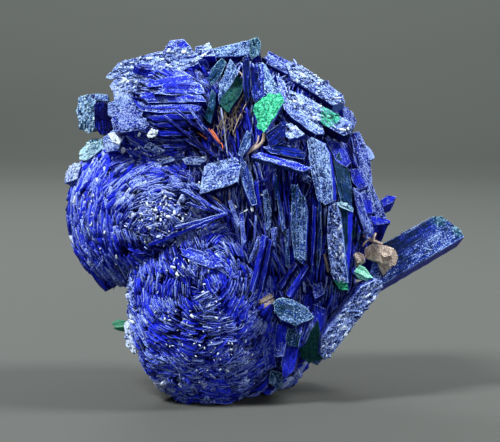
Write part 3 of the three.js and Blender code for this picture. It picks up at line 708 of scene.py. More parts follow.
# Patches of colour on the face: which colour, middle and radius in the photograph's pixels.
Patch = namedtuple("Patch", "colour x y radius")
PATCHES = [
    Patch("green", 327, 120, 10),
    Patch("green", 337, 285, 7),
    Patch("green", 354, 235, 5),
    Patch("teal", 438, 217, 9),
    Patch("teal", 458, 229, 8),
]
STRONGEST_STAIN = 0.7
STAIN_COLUMN = {"teal": 0, "green": 1}

# Where frosting is heavier, partly frost and partly painted highlight, or where painted shade in crevices
# and notches makes the frosting thinner and the blue darker: middle, half sizes and amount.
FrostAndShade = namedtuple("FrostAndShade", "x y wide high amount")
FROST_AND_SHADE = [
    FrostAndShade(128, 335, 16, 60, 0.4),
    FrostAndShade(160, 385, 30, 18, 0.25),
    FrostAndShade(165, 190, 50, 12, 0.15),
    FrostAndShade(162, 212, 28, 24, 0.18),
    FrostAndShade(76, 190, 14, 60, 0.25),
    FrostAndShade(100, 160, 24, 24, 0.15),
    FrostAndShade(124, 92, 14, 20, 0.08),
    FrostAndShade(200, 252, 16, 9, 0.2),
    FrostAndShade(292, 235, 44, 60, -0.1),
    FrostAndShade(228, 128, 24, 28, -0.6),
    FrostAndShade(283, 190, 24, 14, -0.4),
    FrostAndShade(155, 250, 44, 9, -0.35),
    FrostAndShade(350, 158, 9, 22, -0.4),
    FrostAndShade(205, 150, 20, 12, -0.3),
    FrostAndShade(185, 136, 26, 12, -0.25),
    FrostAndShade(350, 250, 9, 44, -0.3),
    FrostAndShade(388, 254, 24, 20, -0.4),
    FrostAndShade(300, 350, 14, 14, -0.3),
    FrostAndShade(300, 75, 14, 12, 0.1),
    FrostAndShade(316, 192, 14, 18, -0.2),
    FrostAndShade(345, 134, 12, 8, -0.25),
]


# How many half sizes each patch of frost and painted shade reaches, and how far back.
FROST_AND_SHADE_REACH = 1.4
FROST_AND_SHADE_BACK = -3


def frost_and_painted_shade(points):
    """How much heavier the frosting is at each point; below 0 it is painted shade, with thinner frosting and
    darker blue.
    """
    amounts = np.zeros(len(points))
    for x, y, wide, high, amount in FROST_AND_SHADE:
        u, v = at_pixel(x, y)
        across, up = wide * PIXEL_MM, high * PIXEL_MM
        away = np.hypot((points[:, 0] - u) / across, (points[:, 1] - v) / up)
        amounts += amount * np.clip(FROST_AND_SHADE_REACH - away, 0, 1) * (points[:, 2] > FROST_AND_SHADE_BACK)
    return amounts


def stained(points):
    """How strongly the patches of colour stain each point, a column to a colour."""
    amounts = np.zeros((len(points), 3))
    ragged = 0.3 * noise(points, 0.5, 41)
    for colour, x, y, radius in PATCHES:
        u, v = at_pixel(x, y)
        away = np.hypot(points[:, 0] - u, points[:, 1] - v) / (radius * PIXEL_MM)
        front = points[:, 2] > skin(u, v) - 2.5
        amount = np.clip((1.1 + ragged - away) * 4, 0, STRONGEST_STAIN) * front
        column = STAIN_COLUMN[colour]
        amounts[:, column] = np.maximum(amounts[:, column], amount)
    return amounts


PLATES = [plate_habit(seed) for seed in range(6)]
SLABS = [slab_habit(seed) for seed in range(8)]


# The fields that thin plates follow. Each gives the way their edges run, and the way they lean.

def flat(vectors, outs):
    """Vectors laid into the surface."""
    return unit(vectors - outs * (vectors * outs).sum(axis=1, keepdims=True))


def rings(places, outs, middle):
    """Round a middle, leaning away from it."""
    away = flat(places * (1, 1, 0) - (*middle, 0), outs)
    return np.cross(outs, away), away


def rays(places, outs, middle):
    """Away from a middle, leaning down."""
    runs = flat(places * (1, 1, 0) - (*middle, 0), outs)
    sides = np.cross(outs, runs)
    return runs, sides * -np.sign(sides[:, 1:2] + 1e-6)


def headed(places, outs, heading):
    """At an angle in the face, leaning either way."""
    angle = np.radians(np.broadcast_to(heading, len(places)))
    runs = flat(np.stack([np.cos(angle), np.sin(angle), 0 * angle], axis=1), outs)
    return runs, np.cross(outs, runs) * np.sign(noise(places, 1.5, 71) + 0.05)[:, None]


def turned(flow, outs, degrees):
    """A flow turned about the way the lobe faces."""
    angle = np.radians(np.broadcast_to(degrees, len(outs)))[:, None]
    return tuple(unit(x * np.cos(angle) + np.cross(outs, x) * np.sin(angle)) for x in flow)


def blended(first, second, share):
    share = share[:, None]
    return tuple(unit(a * (1 - share) + b * share) for a, b in zip(first, second))


# Where the lower rosette's plates run outwards: towards this heading and so far to each side, in degrees.
RAYED_HEADING = 120
RAYED_SIDE = 32

# How far the tangled hearts of the rosettes reach, in mm.
ROSETTE_HEART_MM = 3.2
ALMOND_HEART_MM = 4.2


def lower_rosette_flow(places, outs):
    """Rings below and to the right, rays in the upper left."""
    middle = np.array(at_pixel(*ROSETTE_MIDDLE_PX))
    away = places[:, :2] - middle
    angle = np.degrees(np.arctan2(away[:, 1], away[:, 0]))
    rayed = np.clip(1.7 - np.abs(angle - RAYED_HEADING) / RAYED_SIDE, 0, 1)
    return turned(rings(places, outs, middle), outs, 75 * rayed + 30 * noise(places, 2.6, 53))


def middle_rosette_flow(places, outs):
    """Rings drawn out to a point on the right."""
    corner = np.array(at_pixel(*ALMOND_POINT_PX))
    ring = rings(places, outs, np.array(at_pixel(*ALMOND_MIDDLE_PX)))
    ray = rays(places, outs, corner)
    same = np.sign((ray[0] * ring[0]).sum(axis=1, keepdims=True))
    near = np.clip(1.3 - np.linalg.norm(places[:, :2] - corner, axis=1) / 8, 0, 1)
    return turned(blended(ring, (ray[0] * same, ray[1]), near), outs, 30 * noise(places, 2.2, 54))


def tangled_flow(places, outs):
    """All ways, changing within a packet's length."""
    return turned(headed(places, outs, 30), outs, 180 * noise(places, 0.9, 51))


def rosette_heart(places, outs):
    away = places[:, :2] - at_pixel(*ROSETTE_HEART_PX)
    return np.linalg.norm(away, axis=1) < ROSETTE_HEART_MM


def worn_rim(places, outs):
    left, low = at_pixel(*WORN_CORNER_PX)
    return (outs[:, 2] > -0.5) & ((places[:, 0] < left) | (places[:, 1] < low))


def granular_heart(places, outs):
    away = (places[:, :2] - at_pixel(*ALMOND_HEART_PX)) * (0.75, 1)
    return np.linalg.norm(away, axis=1) < ALMOND_HEART_MM


def left_lobe_flow(places, outs):
    ring = rings(places, outs, np.array(at_pixel(*LEFT_MIDDLE_PX)))
    return turned(ring, outs, 25 * noise(places, 3.0, 55))


def fan_flow(places, outs):
    return rays(places, outs, np.array(at_pixel(*FAN_FOOT_PX)))


# The curtain's headings in degrees at places from left to right.
CURTAIN_U = (-4.8, -1.0, 2.7, 5.7, 8.7, 13, 18)
CURTAIN_HEADINGS = (-68, -75, -86, -91, -90, -83, -78)

# Past this u and v, over the fade in mm, the laths take the upper right's heading.
UPPER_RIGHT = (5, 36)
UPPER_FADE = 4
UPPER_HEADING = -42


def curtain_flow(places, outs):
    """Upright laths, slanting down to the right towards the upper right."""
    heading = np.interp(places[:, 0], CURTAIN_U, CURTAIN_HEADINGS)
    upper = np.clip((places[:, :2] - UPPER_RIGHT) / UPPER_FADE, 0, 1).prod(axis=1)
    return headed(places, outs, heading * (1 - upper) + UPPER_HEADING * upper)


def back_flow(places, outs):
    """Broad swirls that change from patch to patch."""
    return turned(headed(places, outs, -90), outs, 75 * noise(places, 9.0, 61))


def everywhere(places, outs):
    return np.ones(len(places), dtype=bool)


def front_of(places, outs):
    return outs[:, 2] > -0.1


def behind(places, outs):
    return outs[:, 2] < 0.35


# Thin plates over a lobe, in packets of near parallel plates on edge.
Cover = namedtuple("Cover", "lobe packets each pitch size proud lean flow where frost tone")
COVERS = [Cover(*row) for row in (
    ("lower_rosette", 640, 9, 0.32, (1.9, 1.8, 0.09), 0.5, 15, lower_rosette_flow, everywhere, 0.03, 0.85),
    ("lower_rosette", 700, 4, 0.32, (1.4, 1.6, 0.09), 0.45, 12, tangled_flow, rosette_heart, 0.05, 0.7),
    ("lower_rosette", 620, 3, 0.34, (0.9, 1.4, 0.12), 0.6, 16, tangled_flow, worn_rim, 0.2, 0.7),
    ("middle_rosette", 340, 8, 0.32, (1.7, 1.5, 0.09), 0.5, 16, middle_rosette_flow, everywhere, 0.06, 0.65),
    ("middle_rosette", 700, 3, 0.32, (0.75, 1.4, 0.12), 0.75, 14, tangled_flow, granular_heart, 0.22, 0.55),
    ("left_lobe", 300, 8, 0.4, (4.0, 1.9, 0.1), 0.5, 16, left_lobe_flow, everywhere, 0.0, 1.0),
    ("upper_left_lobe", 250, 6, 0.45, (4.6, 2.0, 0.12), 0.3, 18, fan_flow, everywhere, 0.0, 0.6),
    ("body", 470, 7, 0.5, (6.6, 2.1, 0.17), 0.35, 15, curtain_flow, front_of, -0.04, 0.45),
    ("body", 270, 5, 0.75, (4.6, 2.0, 0.3), 0.35, 22, back_flow, behind, 0.16, 0.6),
    ("lower_right_lobe", 150, 7, 0.46, (3.6, 1.8, 0.15), 0.4, 16, curtain_flow, everywhere, -0.02, 0.55),
    ("right_shoulder", 95, 7, 0.46, (3.6, 1.8, 0.15), 0.4, 16, curtain_flow, everywhere, -0.02, 0.5),
    ("crown", 210, 5, 0.6, (4.0, 1.9, 0.2), 0.3, 20, back_flow, everywhere, 0.06, 0.4),
    ("foot", 120, 7, 0.42, (3.2, 1.8, 0.14), 0.35, 20, back_flow, everywhere, 0.0, 0.65),
    ("back_foot", 200, 5, 0.7, (4.2, 2.0, 0.3), 0.4, 24, back_flow, everywhere, 0.16, 0.6),
    ("back_lobe", 240, 5, 0.65, (4.0, 2.0, 0.26), 0.45, 26, back_flow, everywhere, 0.16, 0.7),
    ("back_right_lobe", 200, 5, 0.7, (4.4, 2.0, 0.3), 0.45, 24, back_flow, everywhere, 0.16, 0.6),
)]


# How unlike one another packets are, and the plates of one packet: turn is in degrees, and lean in
# degrees for packets and in radians for plates.
Spread = namedtuple("Spread", "turn lean tone frost proud")
PACKETS = Spread(11, 11, 0.25, 0.16, 0.18)
WITHIN = Spread(3, 0.07, 0.3, 0.2, 0.1)
BOW = 0.02
WHITENED = 0.4
WHITENED_SHARE = 0.03
LOWEST = 0.0003


def cover(growth, row, seed):
    """Covers a lobe with packets of thin plates."""
    draw = np.random.default_rng(seed)
    jitter = draw.normal(0, 0.8 / math.sqrt(row.packets), (row.packets, 3))
    places, outs = on_lobe(LOBES[row.lobe], unit(spiral(row.packets) + jitter))
    keep = ~buried(places, row.lobe) & row.where(places, outs) & (world(places)[:, 2] > LOWEST)
    places, outs = places[keep], outs[keep]
    count = len(places)
    runs, sides = turned(row.flow(places, outs), outs, draw.normal(0, PACKETS.turn, count))
    lean = np.radians(row.lean + draw.normal(0, PACKETS.lean, count))
    tone = row.tone + draw.normal(0, PACKETS.tone, count)
    frost = row.frost + draw.normal(0, PACKETS.frost, count)
    proud = row.proud + draw.normal(0, PACKETS.proud, count)
    for k in range(row.each):
        step = (k - (row.each - 1) / 2 + draw.uniform(-0.25, 0.25, count)) * row.pitch
        sizes = np.array(row.size) * (1 + draw.normal(0, 0.22, (count, 3)).clip(-0.5, 0.6))
        angle = (lean + draw.normal(0, WITHIN.lean, count))[:, None]
        across = outs * np.cos(angle) + sides * np.sin(angle)
        along, _ = turned((runs, sides), outs, draw.normal(0, WITHIN.turn, count))
        rims = places + sides * step[:, None] + runs * draw.normal(0, 0.2 * row.size[0], (count, 1))
        rims = rims + outs * (proud + draw.normal(0, WITHIN.proud, count))[:, None]
        spots = rims - across * sizes[:, 1:2] / 2
        bow = draw.normal(0, BOW, count)
        white = WHITENED * (draw.random(count) < WHITENED_SHARE)
        tones = tone + draw.normal(0, WITHIN.tone, count)
        frosts = frost + white + draw.normal(0, WITHIN.frost, count)
        for variant, habit in enumerate(PLATES):
            mine = (np.arange(count) + k) % len(PLATES) == variant
            axes = aimed(along[mine], across[mine])
            looks = (tones[mine], frosts[mine], 0.0, 0.0)
            growth.add(habit, axes, spots[mine], sizes[mine], looks, bow=bow[mine])


# Stout crystals.

# How steep a traced face may be and how far it follows the slope of the lobes behind it.
STEEPEST = 1.1
FOLLOW = 0.8
# The flecks' white look: partly white grains, partly painted glints.
GRAIN_AND_PAINTED_GLINT = Look(0.5, 1.3, 0.1, 0.0)
PLAIN = Look(0.0, 0.0, 0.0, 0.0)
STEP_MM = 0.5
BEVEL_MM = 0.06
ROUGH_MM = 0.04
LEDGE_MM = 0.3
MOST_LEDGES = 5
MM2_PER_LEDGE = 1.8
CLEAN_LEDGE = 0.25
SCALED_FROST = 0.33
COARSE_FROST = 0.5
SCALES_PER_MM2 = 4
SCALE_CLEARANCE = 0.12


class Traced:
    """A crystal traced on the photograph, its outline laid flat and set on the lobes."""

    def __init__(self, row, depth=None):
        spots = np.array([at_pixel(*corner) for corner in row.corners])
        self.middle = spots.mean(axis=0)
        edges = np.roll(spots, -1, axis=0) - spots
        along = unit(edges[np.linalg.norm(edges, axis=1).argmax()])
        self.axes = np.array([along, (-along[1], along[0])])
        self.outline = (spots - self.middle) @ self.axes.T
        self.thickness = row.back[2]
        self.shift = np.array([row.back[0], -row.back[1]]) * PIXEL_MM
        self.look, self.side = (LOOKS.get(name, PLAIN) for name in (row.look, row.side))
        ground = np.array([skin(*spot) for spot in (*spots, self.middle)])
        around = np.array([*spots, self.middle]) - self.middle
        slope = np.zeros(2)
        if depth is None and ground.min() > 0:
            level = np.column_stack([around, np.ones(len(around))])
            slope = np.linalg.lstsq(level, ground, rcond=None)[0][:2]
            slope = np.clip(slope, -STEEPEST, STEEPEST) * FOLLOW
        self.slope = slope - np.tan(np.radians(row.turn))
        if depth is None:
            depth = (ground - around @ self.slope * (ground > 0)).max() + row.lift
        self.depth = depth

    def put(self, growth, faces, local, looks, item):
        """Adds a shape that is laid out on the flat outline, front at z = 0."""
        inward = -local[:, 2:] / self.thickness
        spread = local[:, :2] @ self.axes + inward * self.shift
        reach = self.depth + spread @ self.slope - self.thickness * inward[:, 0]
        points = np.column_stack([spread + self.middle, reach])
        growth.put(points, faces, local + 31.7 * item, *looks)

    def within(self, spots, clearance):
        """Which points lie inside the outline and clear of its edges."""
        edges = np.roll(self.outline, -1, axis=0) - self.outline
        gaps = spots[:, None] - self.outline
        turns = edges[:, 0] * gaps[..., 1] - edges[:, 1] * gaps[..., 0]
        beside = turns / np.linalg.norm(edges, axis=1)
        inside = np.abs(np.sign(beside).sum(axis=1)) == len(self.outline)
        return inside & (np.abs(beside).min(axis=1) > clearance)


def add_crystal(growth, crystal, seed):
    """A crystal cut to its traced outline."""
    habit = prism(crystal.outline, crystal.thickness, STEP_MM, BEVEL_MM, ROUGH_MM, seed)
    looks = looked(habit, 1, crystal.look, crystal.side)
    crystal.put(growth, habit.faces, habit.points, looks, seed)


def add_ledges(growth, crystal, seed):
    """Thin steps along a crystal's front."""
    outline = crystal.outline
    low, high = outline.min(axis=0), outline.max(axis=0)
    for k in range(min(MOST_LEDGES, int(np.prod(high - low) / MM2_PER_LEDGE))):
        item = 97 * seed + k
        shares = (0.3 + 0.35 * chance(item, 1), 0.16 + 0.25 * chance(item, 2))
        length, width = (high - low) * shares
        share = 0.15 + 0.7 * chance(item, 3)
        corners = [outline[int(chance(item, pick) * len(outline))] for pick in (4, 5)]
        spot = 0.55 * (corners[0] * share + corners[1] * (1 - share))
        habit = SLABS[item % len(SLABS)]
        local = habit.points * (length, width, LEDGE_MM) + (*spot, 0.03 + 0.1 * chance(item, 6))
        tone, frost, teal, green = varied(crystal.look, item)
        if crystal.look.frost < SCALED_FROST:
            frost -= CLEAN_LEDGE
        look = (tone, frost, teal, green)
        crystal.put(growth, habit.faces, local, looked(habit, 1, look, look), item)


def add_scales(growth, crystal, seed):
    """Worn scales over a frosted front, coarser where the frosting is heavy."""
    look = crystal.look
    if look.frost < SCALED_FROST:
        return
    draw = np.random.default_rng(seed)
    coarse = 1.0 if look.frost > COARSE_FROST else 0.5
    low, high = crystal.outline.min(axis=0), crystal.outline.max(axis=0)
    total = int(np.prod(high - low) * SCALES_PER_MM2 / coarse)
    spots = draw.uniform(low, high, (total, 2))
    spots = spots[crystal.within(spots, SCALE_CLEARANCE)]
    for variant, habit in enumerate(PLATES):
        mine = spots[variant::len(PLATES)]
        count = len(mine)
        if count == 0:
            continue
        sizes = draw.uniform((0.35, 0.22, 0.1), (1.0, 0.5, 0.2), (count, 3)) * coarse
        shaped = habit.points[None] * sizes[:, None]
        angle = np.radians(draw.normal(0, 30, count))[:, None]
        x = shaped[..., 0] * np.cos(angle) - shaped[..., 1] * np.sin(angle)
        y = shaped[..., 0] * np.sin(angle) + shaped[..., 1] * np.cos(angle)
        lift = draw.uniform(0.0, 0.12 * coarse, (count, 1))
        z = shaped[..., 2] + lift + draw.normal(0, 0.1, (count, 1)) * y
        local = np.stack([x + mine[:, :1], y + mine[:, 1:], z], axis=2).reshape(-1, 3)
        tone = look.tone + draw.normal(0, 0.25, count)
        frost = look.frost + draw.normal(0, 0.26 * coarse, count)
        looks = looked(habit, count, (tone, frost, look.teal, look.green), crystal.side)
        crystal.put(growth, repeated(habit.faces, count, len(habit.points)), local, looks, seed)


def add_flecks(growth):
    """White flecks set a little proud of the plates: partly white grains, partly painted glints."""
    draw = np.random.default_rng(5)
    flecks = list(FLECKS)
    for x, y, wide, high, count in FLECK_FIELDS:
        spots = draw.normal(0, 0.5, (count, 2)) * (wide, high) + (x, y)
        sizes = draw.uniform(1.2, 2.8, count)
        flecks += [(*spot, size) for spot, size in zip(spots, sizes)]
    for item, (x, y, size) in enumerate(flecks):
        u, v = at_pixel(x, y)
        if skin(u, v) == 0:
            continue
        spread = size * PIXEL_MM * np.array([1.0, 0.3 + 0.4 * chance(item, 1), 0.3])
        out = np.array([0.4 * either(item, 3), 0.4 * either(item, 4) + 0.2, 1.0])
        across = spun((0, 0, 1), 180 * chance(item, 2)) @ np.array([0.0, 1.0, 0.0])
        axes = aimed(np.cross(across, out), across)
        place = np.array([[u, v, skin(u, v) + 0.8 + 0.2 * chance(item, 5)]])
        duller = 0.5 * chance(item, 6) * (size < DULL_FLECK)
        look = GRAIN_AND_PAINTED_GLINT._replace(frost=GRAIN_AND_PAINTED_GLINT.frost - duller)
        growth.add(PLATES[item % len(PLATES)], axes[None], place, [spread], look)


def varied(look, item):
    """A look that differs a little."""
    tone, frost, teal, green = look
    return tone + 0.2 * either(item, 31), frost + 0.12 * either(item, 32), teal, green


def add_slab(growth, size, axes, place, look, item):
    """One slab, its place at its middle."""
    habit = SLABS[item % len(SLABS)]
    spot = place + axes @ np.array([0, 0, size[2] / 2])
    growth.add(habit, axes[None], spot[None], np.array([size]), varied(look, item))


def add_blade(growth, size, axes, place, look, seed):
    """A stout slab with thinner layers on its faces."""
    length, width, thickness = size
    add_slab(growth, size, axes, place, look, seed)
    for k in range(LAYERS):
        item = seed * 17 + k
        side = 1 if k % 2 == 0 else -1
        slab = (length * (0.5 + 0.4 * chance(item, 1)), width * (0.25 + 0.4 * chance(item, 2)), 0.4)
        offset = np.array([
            0.5 * (length - slab[0]) * either(item, 3) * 0.8,
            0.5 * (width - slab[1]) * either(item, 4) * 0.95,
            side * (thickness / 2 - 0.1 + 0.12 * chance(item, 5)),
        ])
        add_slab(growth, slab, axes, place + axes @ offset, look, item)


def add_shingles(growth, lobe, count, size, clear_of_face, seed):
    """Blades that overlap like shingles down a lobe's sides and back."""
    directions = spiral(count)
    places, outs = on_lobe(LOBES[lobe], directions)
    hidden = buried(places, lobe)
    for i in range(count):
        if outs[i, 2] > clear_of_face or hidden[i]:
            continue
        item = seed * 1000 + i
        out = outs[i]
        down = unit(np.array([0, -1, 0]) + out * out[1])
        along = spun(out, 38 * either(item, 1)) @ down
        along = unit(along + out * (0.12 + 0.5 * chance(item, 2)))
        across = spun(along, 42 * either(item, 3)) @ np.cross(out, along)
        slab = [x * (1 + 0.28 * either(item, 4 + k)) for k, x in enumerate(size)]
        place = places[i] + along * 0.12 * slab[0]
        look = LOOKS[SHINGLE_LOOKS[int(chance(item, 9) * len(SHINGLE_LOOKS))]]
        add_blade(growth, slab, aimed(along, across), place, look, item)


# Finishes.

class Number:
    """A socket that adds Math nodes as it is used in an expression."""

    def __init__(self, finish, socket):
        self.finish = finish
        self.socket = socket

    def __add__(self, other):
        return self.finish.math("ADD", self, other)

    __radd__ = __add__

    def __sub__(self, other):
        return self.finish.math("SUBTRACT", self, other)

    def __rsub__(self, other):
        return self.finish.math("SUBTRACT", other, self)

    def __mul__(self, other):
        return self.finish.math("MULTIPLY", self, other)

    __rmul__ = __mul__

    def clamped(self):
        return self.finish.math("ADD", self, 0.0, clamp=True)


class Finish:
    """One material and the nodes that make it. Lengths are in millimetres."""

    def __init__(self, name, spot_label=None):
        self.material = bpy.data.materials.new(name)
        self.material.use_nodes = True
        self.tree = self.material.node_tree
        self.tree.nodes.clear()
        if spot_label:
            self.spot = self.node("ShaderNodeAttribute", {"attribute_name": spot_label}).outputs["Vector"]
        else:
            spot = self.node("ShaderNodeTexCoord").outputs["Object"]
            sockets = {"Vector": spot, "Scale": (1 / MM,) * 3}
            self.spot = self.node("ShaderNodeMapping", None, sockets).outputs[0]

    def node(self, kind, settings=None, sockets=None):
        """A node with its settings, then its sockets' values or links."""
        made = self.tree.nodes.new(kind)
        for key, value in (settings or {}).items():
            setattr(made, key, value)
        for key, value in (sockets or {}).items():
            if isinstance(value, Number):
                value = value.socket
            if isinstance(value, bpy.types.NodeSocket):
                self.tree.links.new(value, made.inputs[key])
            else:
                made.inputs[key].default_value = value
        return made

    def math(self, operation, *values, clamp=False):
        settings = {"operation": operation, "use_clamp": clamp}
        return Number(self, self.node("ShaderNodeMath", settings, dict(enumerate(values))).outputs[0])

    def attribute(self, label):
        """The three numbers of a vertex attribute."""
        vector = self.node("ShaderNodeAttribute", {"attribute_name": label}).outputs["Vector"]
        parts = self.node("ShaderNodeSeparateXYZ", None, {0: vector}).outputs
        return [Number(self, part) for part in parts]

    def noise(self, size, detail=1.0, distortion=0.0, stretch=(1, 1, 1)):
        """Noise whose grain is about one size, stretched so that it fills 0 to 1."""
        spot = self.node("ShaderNodeMapping", None, {"Vector": self.spot, "Scale": stretch}).outputs[0]
        sockets = {"Vector": spot, "Scale": 1 / size, "Detail": detail, "Distortion": distortion}
        return self.over(Number(self, self.node("ShaderNodeTexNoise", None, sockets).outputs[0]), 0.3, 0.7)

    def cracks(self, size, width, wander):
        """1 but for thin cracks round cells of about one size, which wander from straight."""
        drift = self.node("ShaderNodeTexNoise", None, {"Vector": self.spot, "Scale": 1 / size}).outputs[1]
        sockets = {0: drift, 1: (wander,) * 3, 2: self.spot}
        spot = self.node("ShaderNodeVectorMath", {"operation": "MULTIPLY_ADD"}, sockets).outputs[0]
        cells = {"Vector": spot, "Scale": 1 / size}
        edges = self.node("ShaderNodeTexVoronoi", {"feature": "DISTANCE_TO_EDGE"}, cells).outputs["Distance"]
        return self.over(Number(self, edges), 0.0, width)

    def over(self, value, low, high, to_low=0.0, to_high=1.0):
        """A value stretched from low and high to other limits, and held there."""
        sockets = {0: value, 1: low, 2: high, 3: to_low, 4: to_high}
        return Number(self, self.node("ShaderNodeMapRange", {"clamp": True}, sockets).outputs[0])

    def mix(self, factor, first, second):
        """A colour between two colours."""
        sockets = {0: factor, 6: first, 7: second}
        return self.node("ShaderNodeMix", {"data_type": "RGBA"}, sockets).outputs[2]

    def facing(self):
        """The way the surface faces, up being the third number."""
        normal = self.node("ShaderNodeNewGeometry").outputs["Normal"]
        return [Number(self, part) for part in self.node("ShaderNodeSeparateXYZ", None, {0: normal}).outputs]

    def bump(self, height, distance, strength=1.0):
        sockets = {"Height": height, "Distance": distance * MM, "Strength": strength}
        return self.node("ShaderNodeBump", None, sockets).outputs[0]

    def surface(self, sockets):
        shader = self.node("ShaderNodeBsdfPrincipled", None, sockets).outputs[0]
        self.node("ShaderNodeOutputMaterial", None, {"Surface": shader})
        return self.material


# Azurite's colours: clear, thinly frosted, frosted and heavily frosted, and where it is teal or green.
NIGHT_BLUE = (0.0, 0.0004, 0.042, 1)
ROYAL_BLUE = (0.012, 0.026, 0.74, 1)
DEEP_TEAL = (0.002, 0.04, 0.055, 1)
DULL_BLUE = (0.014, 0.032, 0.3, 1)
DULL_TEAL = (0.015, 0.085, 0.14, 1)
MILKY_BLUE = (0.12, 0.21, 0.76, 1)
ICE_BLUE = (0.55, 0.72, 1.0, 1)
FROST_WHITE = (0.72, 0.82, 0.97, 1)
FROST_GREY = (0.14, 0.17, 0.22, 1)
FROST_TEAL = (0.26, 0.52, 0.55, 1)
LEAF_GREEN = (0.001, 0.12, 0.08, 1)
BRIGHT_GREEN = (0.05, 0.56, 0.3, 1)
PALE_GREEN = (0.26, 0.8, 0.6, 1)
MOSS_BLACK = (0.001, 0.018, 0.016, 1)
MOSS_GREEN = (0.02, 0.12, 0.08, 1)


def greens(finish, frost, worms, grain):
    """Malachite that stains a crystal: bright where it is frosted, and moss green where not."""
    swirls = finish.noise(0.9, 2.0, 2.0)
    leaf = finish.mix(finish.over(swirls, 0.1, 0.7), LEAF_GREEN, BRIGHT_GREEN)
    leaf = finish.mix(finish.over(swirls * 0.7 + grain * 0.5, 0.75, 1.05), leaf, PALE_GREEN)
    moss = finish.mix(finish.over(worms + swirls * 0.5, 0.5, 1.1), MOSS_BLACK, MOSS_GREEN)
    return finish.mix(finish.over(frost, 0.0, 0.3), moss, leaf)


def azurite():
    """Deep blue crystal, frosted where worn or crusted, with painted light: paler facing up, painted shade
    at plate roots, rims partly painted highlight.
    """
    finish = Finish("azurite", "local")
    tone, frost, rim = finish.attribute("look")
    teal, green = finish.attribute("stain")[:2]
    # Faces that look up turn paler and more frosted: partly frost, partly painted light from above.
    up = finish.facing()[2]
    worms = finish.noise(0.22, 1.0, 0.8)
    grain = finish.noise(0.1)
    patches = finish.noise(1.4)
    streaks = finish.noise(0.2, 1.0, stretch=(0.1, 1, 1))
    cracks = finish.cracks(0.42, 0.14, 0.5)
    # root is low towards a plate's root and darkens the blue in depth: painted shade in the gaps between
    # plates.
    root = finish.over(rim, 0.55, 0.85)
    edge = finish.over(rim, 0.88, 1.0)
    teal = (teal * 0.8).clamped()

    depth = tone + (streaks - 0.5) * 0.9 + (patches - 0.5) * 0.5 + root - 1
    deep = finish.mix(finish.over(depth, -0.1, 1.3), NIGHT_BLUE, ROYAL_BLUE)
    deep = finish.mix(teal, deep, DEEP_TEAL)
    dull = finish.mix(teal, DULL_BLUE, DULL_TEAL)
    pale = finish.mix(finish.over(grain + up * 0.3, 0.2, 1.2), MILKY_BLUE, ICE_BLUE)
    pale = finish.mix(finish.over(frost, 0.5, 1.1), pale, FROST_WHITE)
    pale = finish.mix(finish.over(tone, -0.5, 0.15), FROST_GREY, pale)
    pale = finish.mix(teal, pale, FROST_TEAL)

    texture = worms * 0.5 + patches * 0.35 + grain * 0.4 + cracks * 0.5 + streaks * 0.35
    crust = frost + up * 0.12 + texture - 1.57
    # Pale lines along the rims: partly frosted edges, partly painted highlight.
    rim_frost_and_highlight = edge * finish.over(frost + streaks * 0.6 + grain * 0.3, 0.25, 0.75)
    colour = finish.mix(finish.over(crust, -0.25, 0.05), deep, dull)
    colour = finish.mix(finish.over(crust, -0.05, 0.4), colour, pale)
    colour = finish.mix(rim_frost_and_highlight * 0.95, colour, pale)
    leaf = greens(finish, frost, worms, grain)
    colour = finish.mix(finish.over(green + (worms - 0.5) * 0.5, 0.3, 0.8), colour, leaf)
    return finish.surface({
        "Base Color": colour,
        "Roughness": finish.over(crust, -0.2, 0.4, 0.35, 0.8),
        "Normal": finish.bump(worms + streaks * 0.7 + grain * 0.3 + cracks * 0.7, 0.06, 0.8),
        "IOR": 1.45,
        "Specular IOR Level": 0.07,
    })


# The colours of clay, malachite, rust and threads.
SHADED_TAN = (0.2, 0.15, 0.12, 1)
TAN = (0.46, 0.37, 0.31, 1)
PALE_TAN = (0.62, 0.57, 0.52, 1)
DEEP_MINT = (0.05, 0.42, 0.28, 1)
MINT = (0.2, 0.72, 0.52, 1)
PALE_MINT = (0.5, 0.9, 0.75, 1)
DARK_GREEN = (0.008, 0.17, 0.09, 1)
DARK_RUST = (0.2, 0.035, 0.02, 1)
RUST_RED = (0.6, 0.15, 0.06, 1)
DARK_THREAD = (0.03, 0.03, 0.025, 1)
TAN_THREAD = (0.24, 0.2, 0.15, 1)


def clay():
    """Pale tan host clay."""
    finish = Finish("clay")
    coarse = finish.noise(0.9, 3.0)
    fine = finish.noise(0.2, 2.0)
    colour = finish.mix(coarse, SHADED_TAN, TAN)
    colour = finish.mix(finish.over(fine, 0.55, 0.9), colour, PALE_TAN)
    normal = finish.bump(fine + coarse, 0.1)
    return finish.surface({"Base Color": colour, "Roughness": 0.85, "Normal": normal})


def malachite():
    """Mint green crystal, dark green where its tone is high."""
    finish = Finish("malachite")
    tone = finish.attribute("look")[0]
    coarse = finish.noise(0.8, 2.0)
    fine = finish.noise(0.2, 2.0)
    colour = finish.mix(coarse, DEEP_MINT, MINT)
    colour = finish.mix(finish.over(fine, 0.55, 0.9), colour, PALE_MINT)
    colour = finish.mix(finish.over(tone, 0.0, 0.2), colour, DARK_GREEN)
    return finish.surface({"Base Color": colour, "Roughness": 0.5, "Normal": finish.bump(fine, 0.05)})


def rust():
    """Rust red clay."""
    finish = Finish("rust")
    fine = finish.noise(0.3, 2.0)
    colour = finish.mix(fine, DARK_RUST, RUST_RED)
    return finish.surface({"Base Color": colour, "Roughness": 0.8, "Normal": finish.bump(fine, 0.05)})


def thread():
    """Dull tan threads."""
    finish = Finish("thread")
    fine = finish.noise(0.4, 2.0)
    colour = finish.mix(fine, DARK_THREAD, TAN_THREAD)
    return finish.surface({"Base Color": colour, "Roughness": 0.9})


AZURITE = azurite()
RUST = rust()
THREAD = thread()
CLAY = clay()
MALACHITE = malachite()


# The core's size beside the lobes', and its look.
CORE_SHARE = 0.94
CORE_LOOK = Look(0.0, -0.6, 0.0, 0.0)


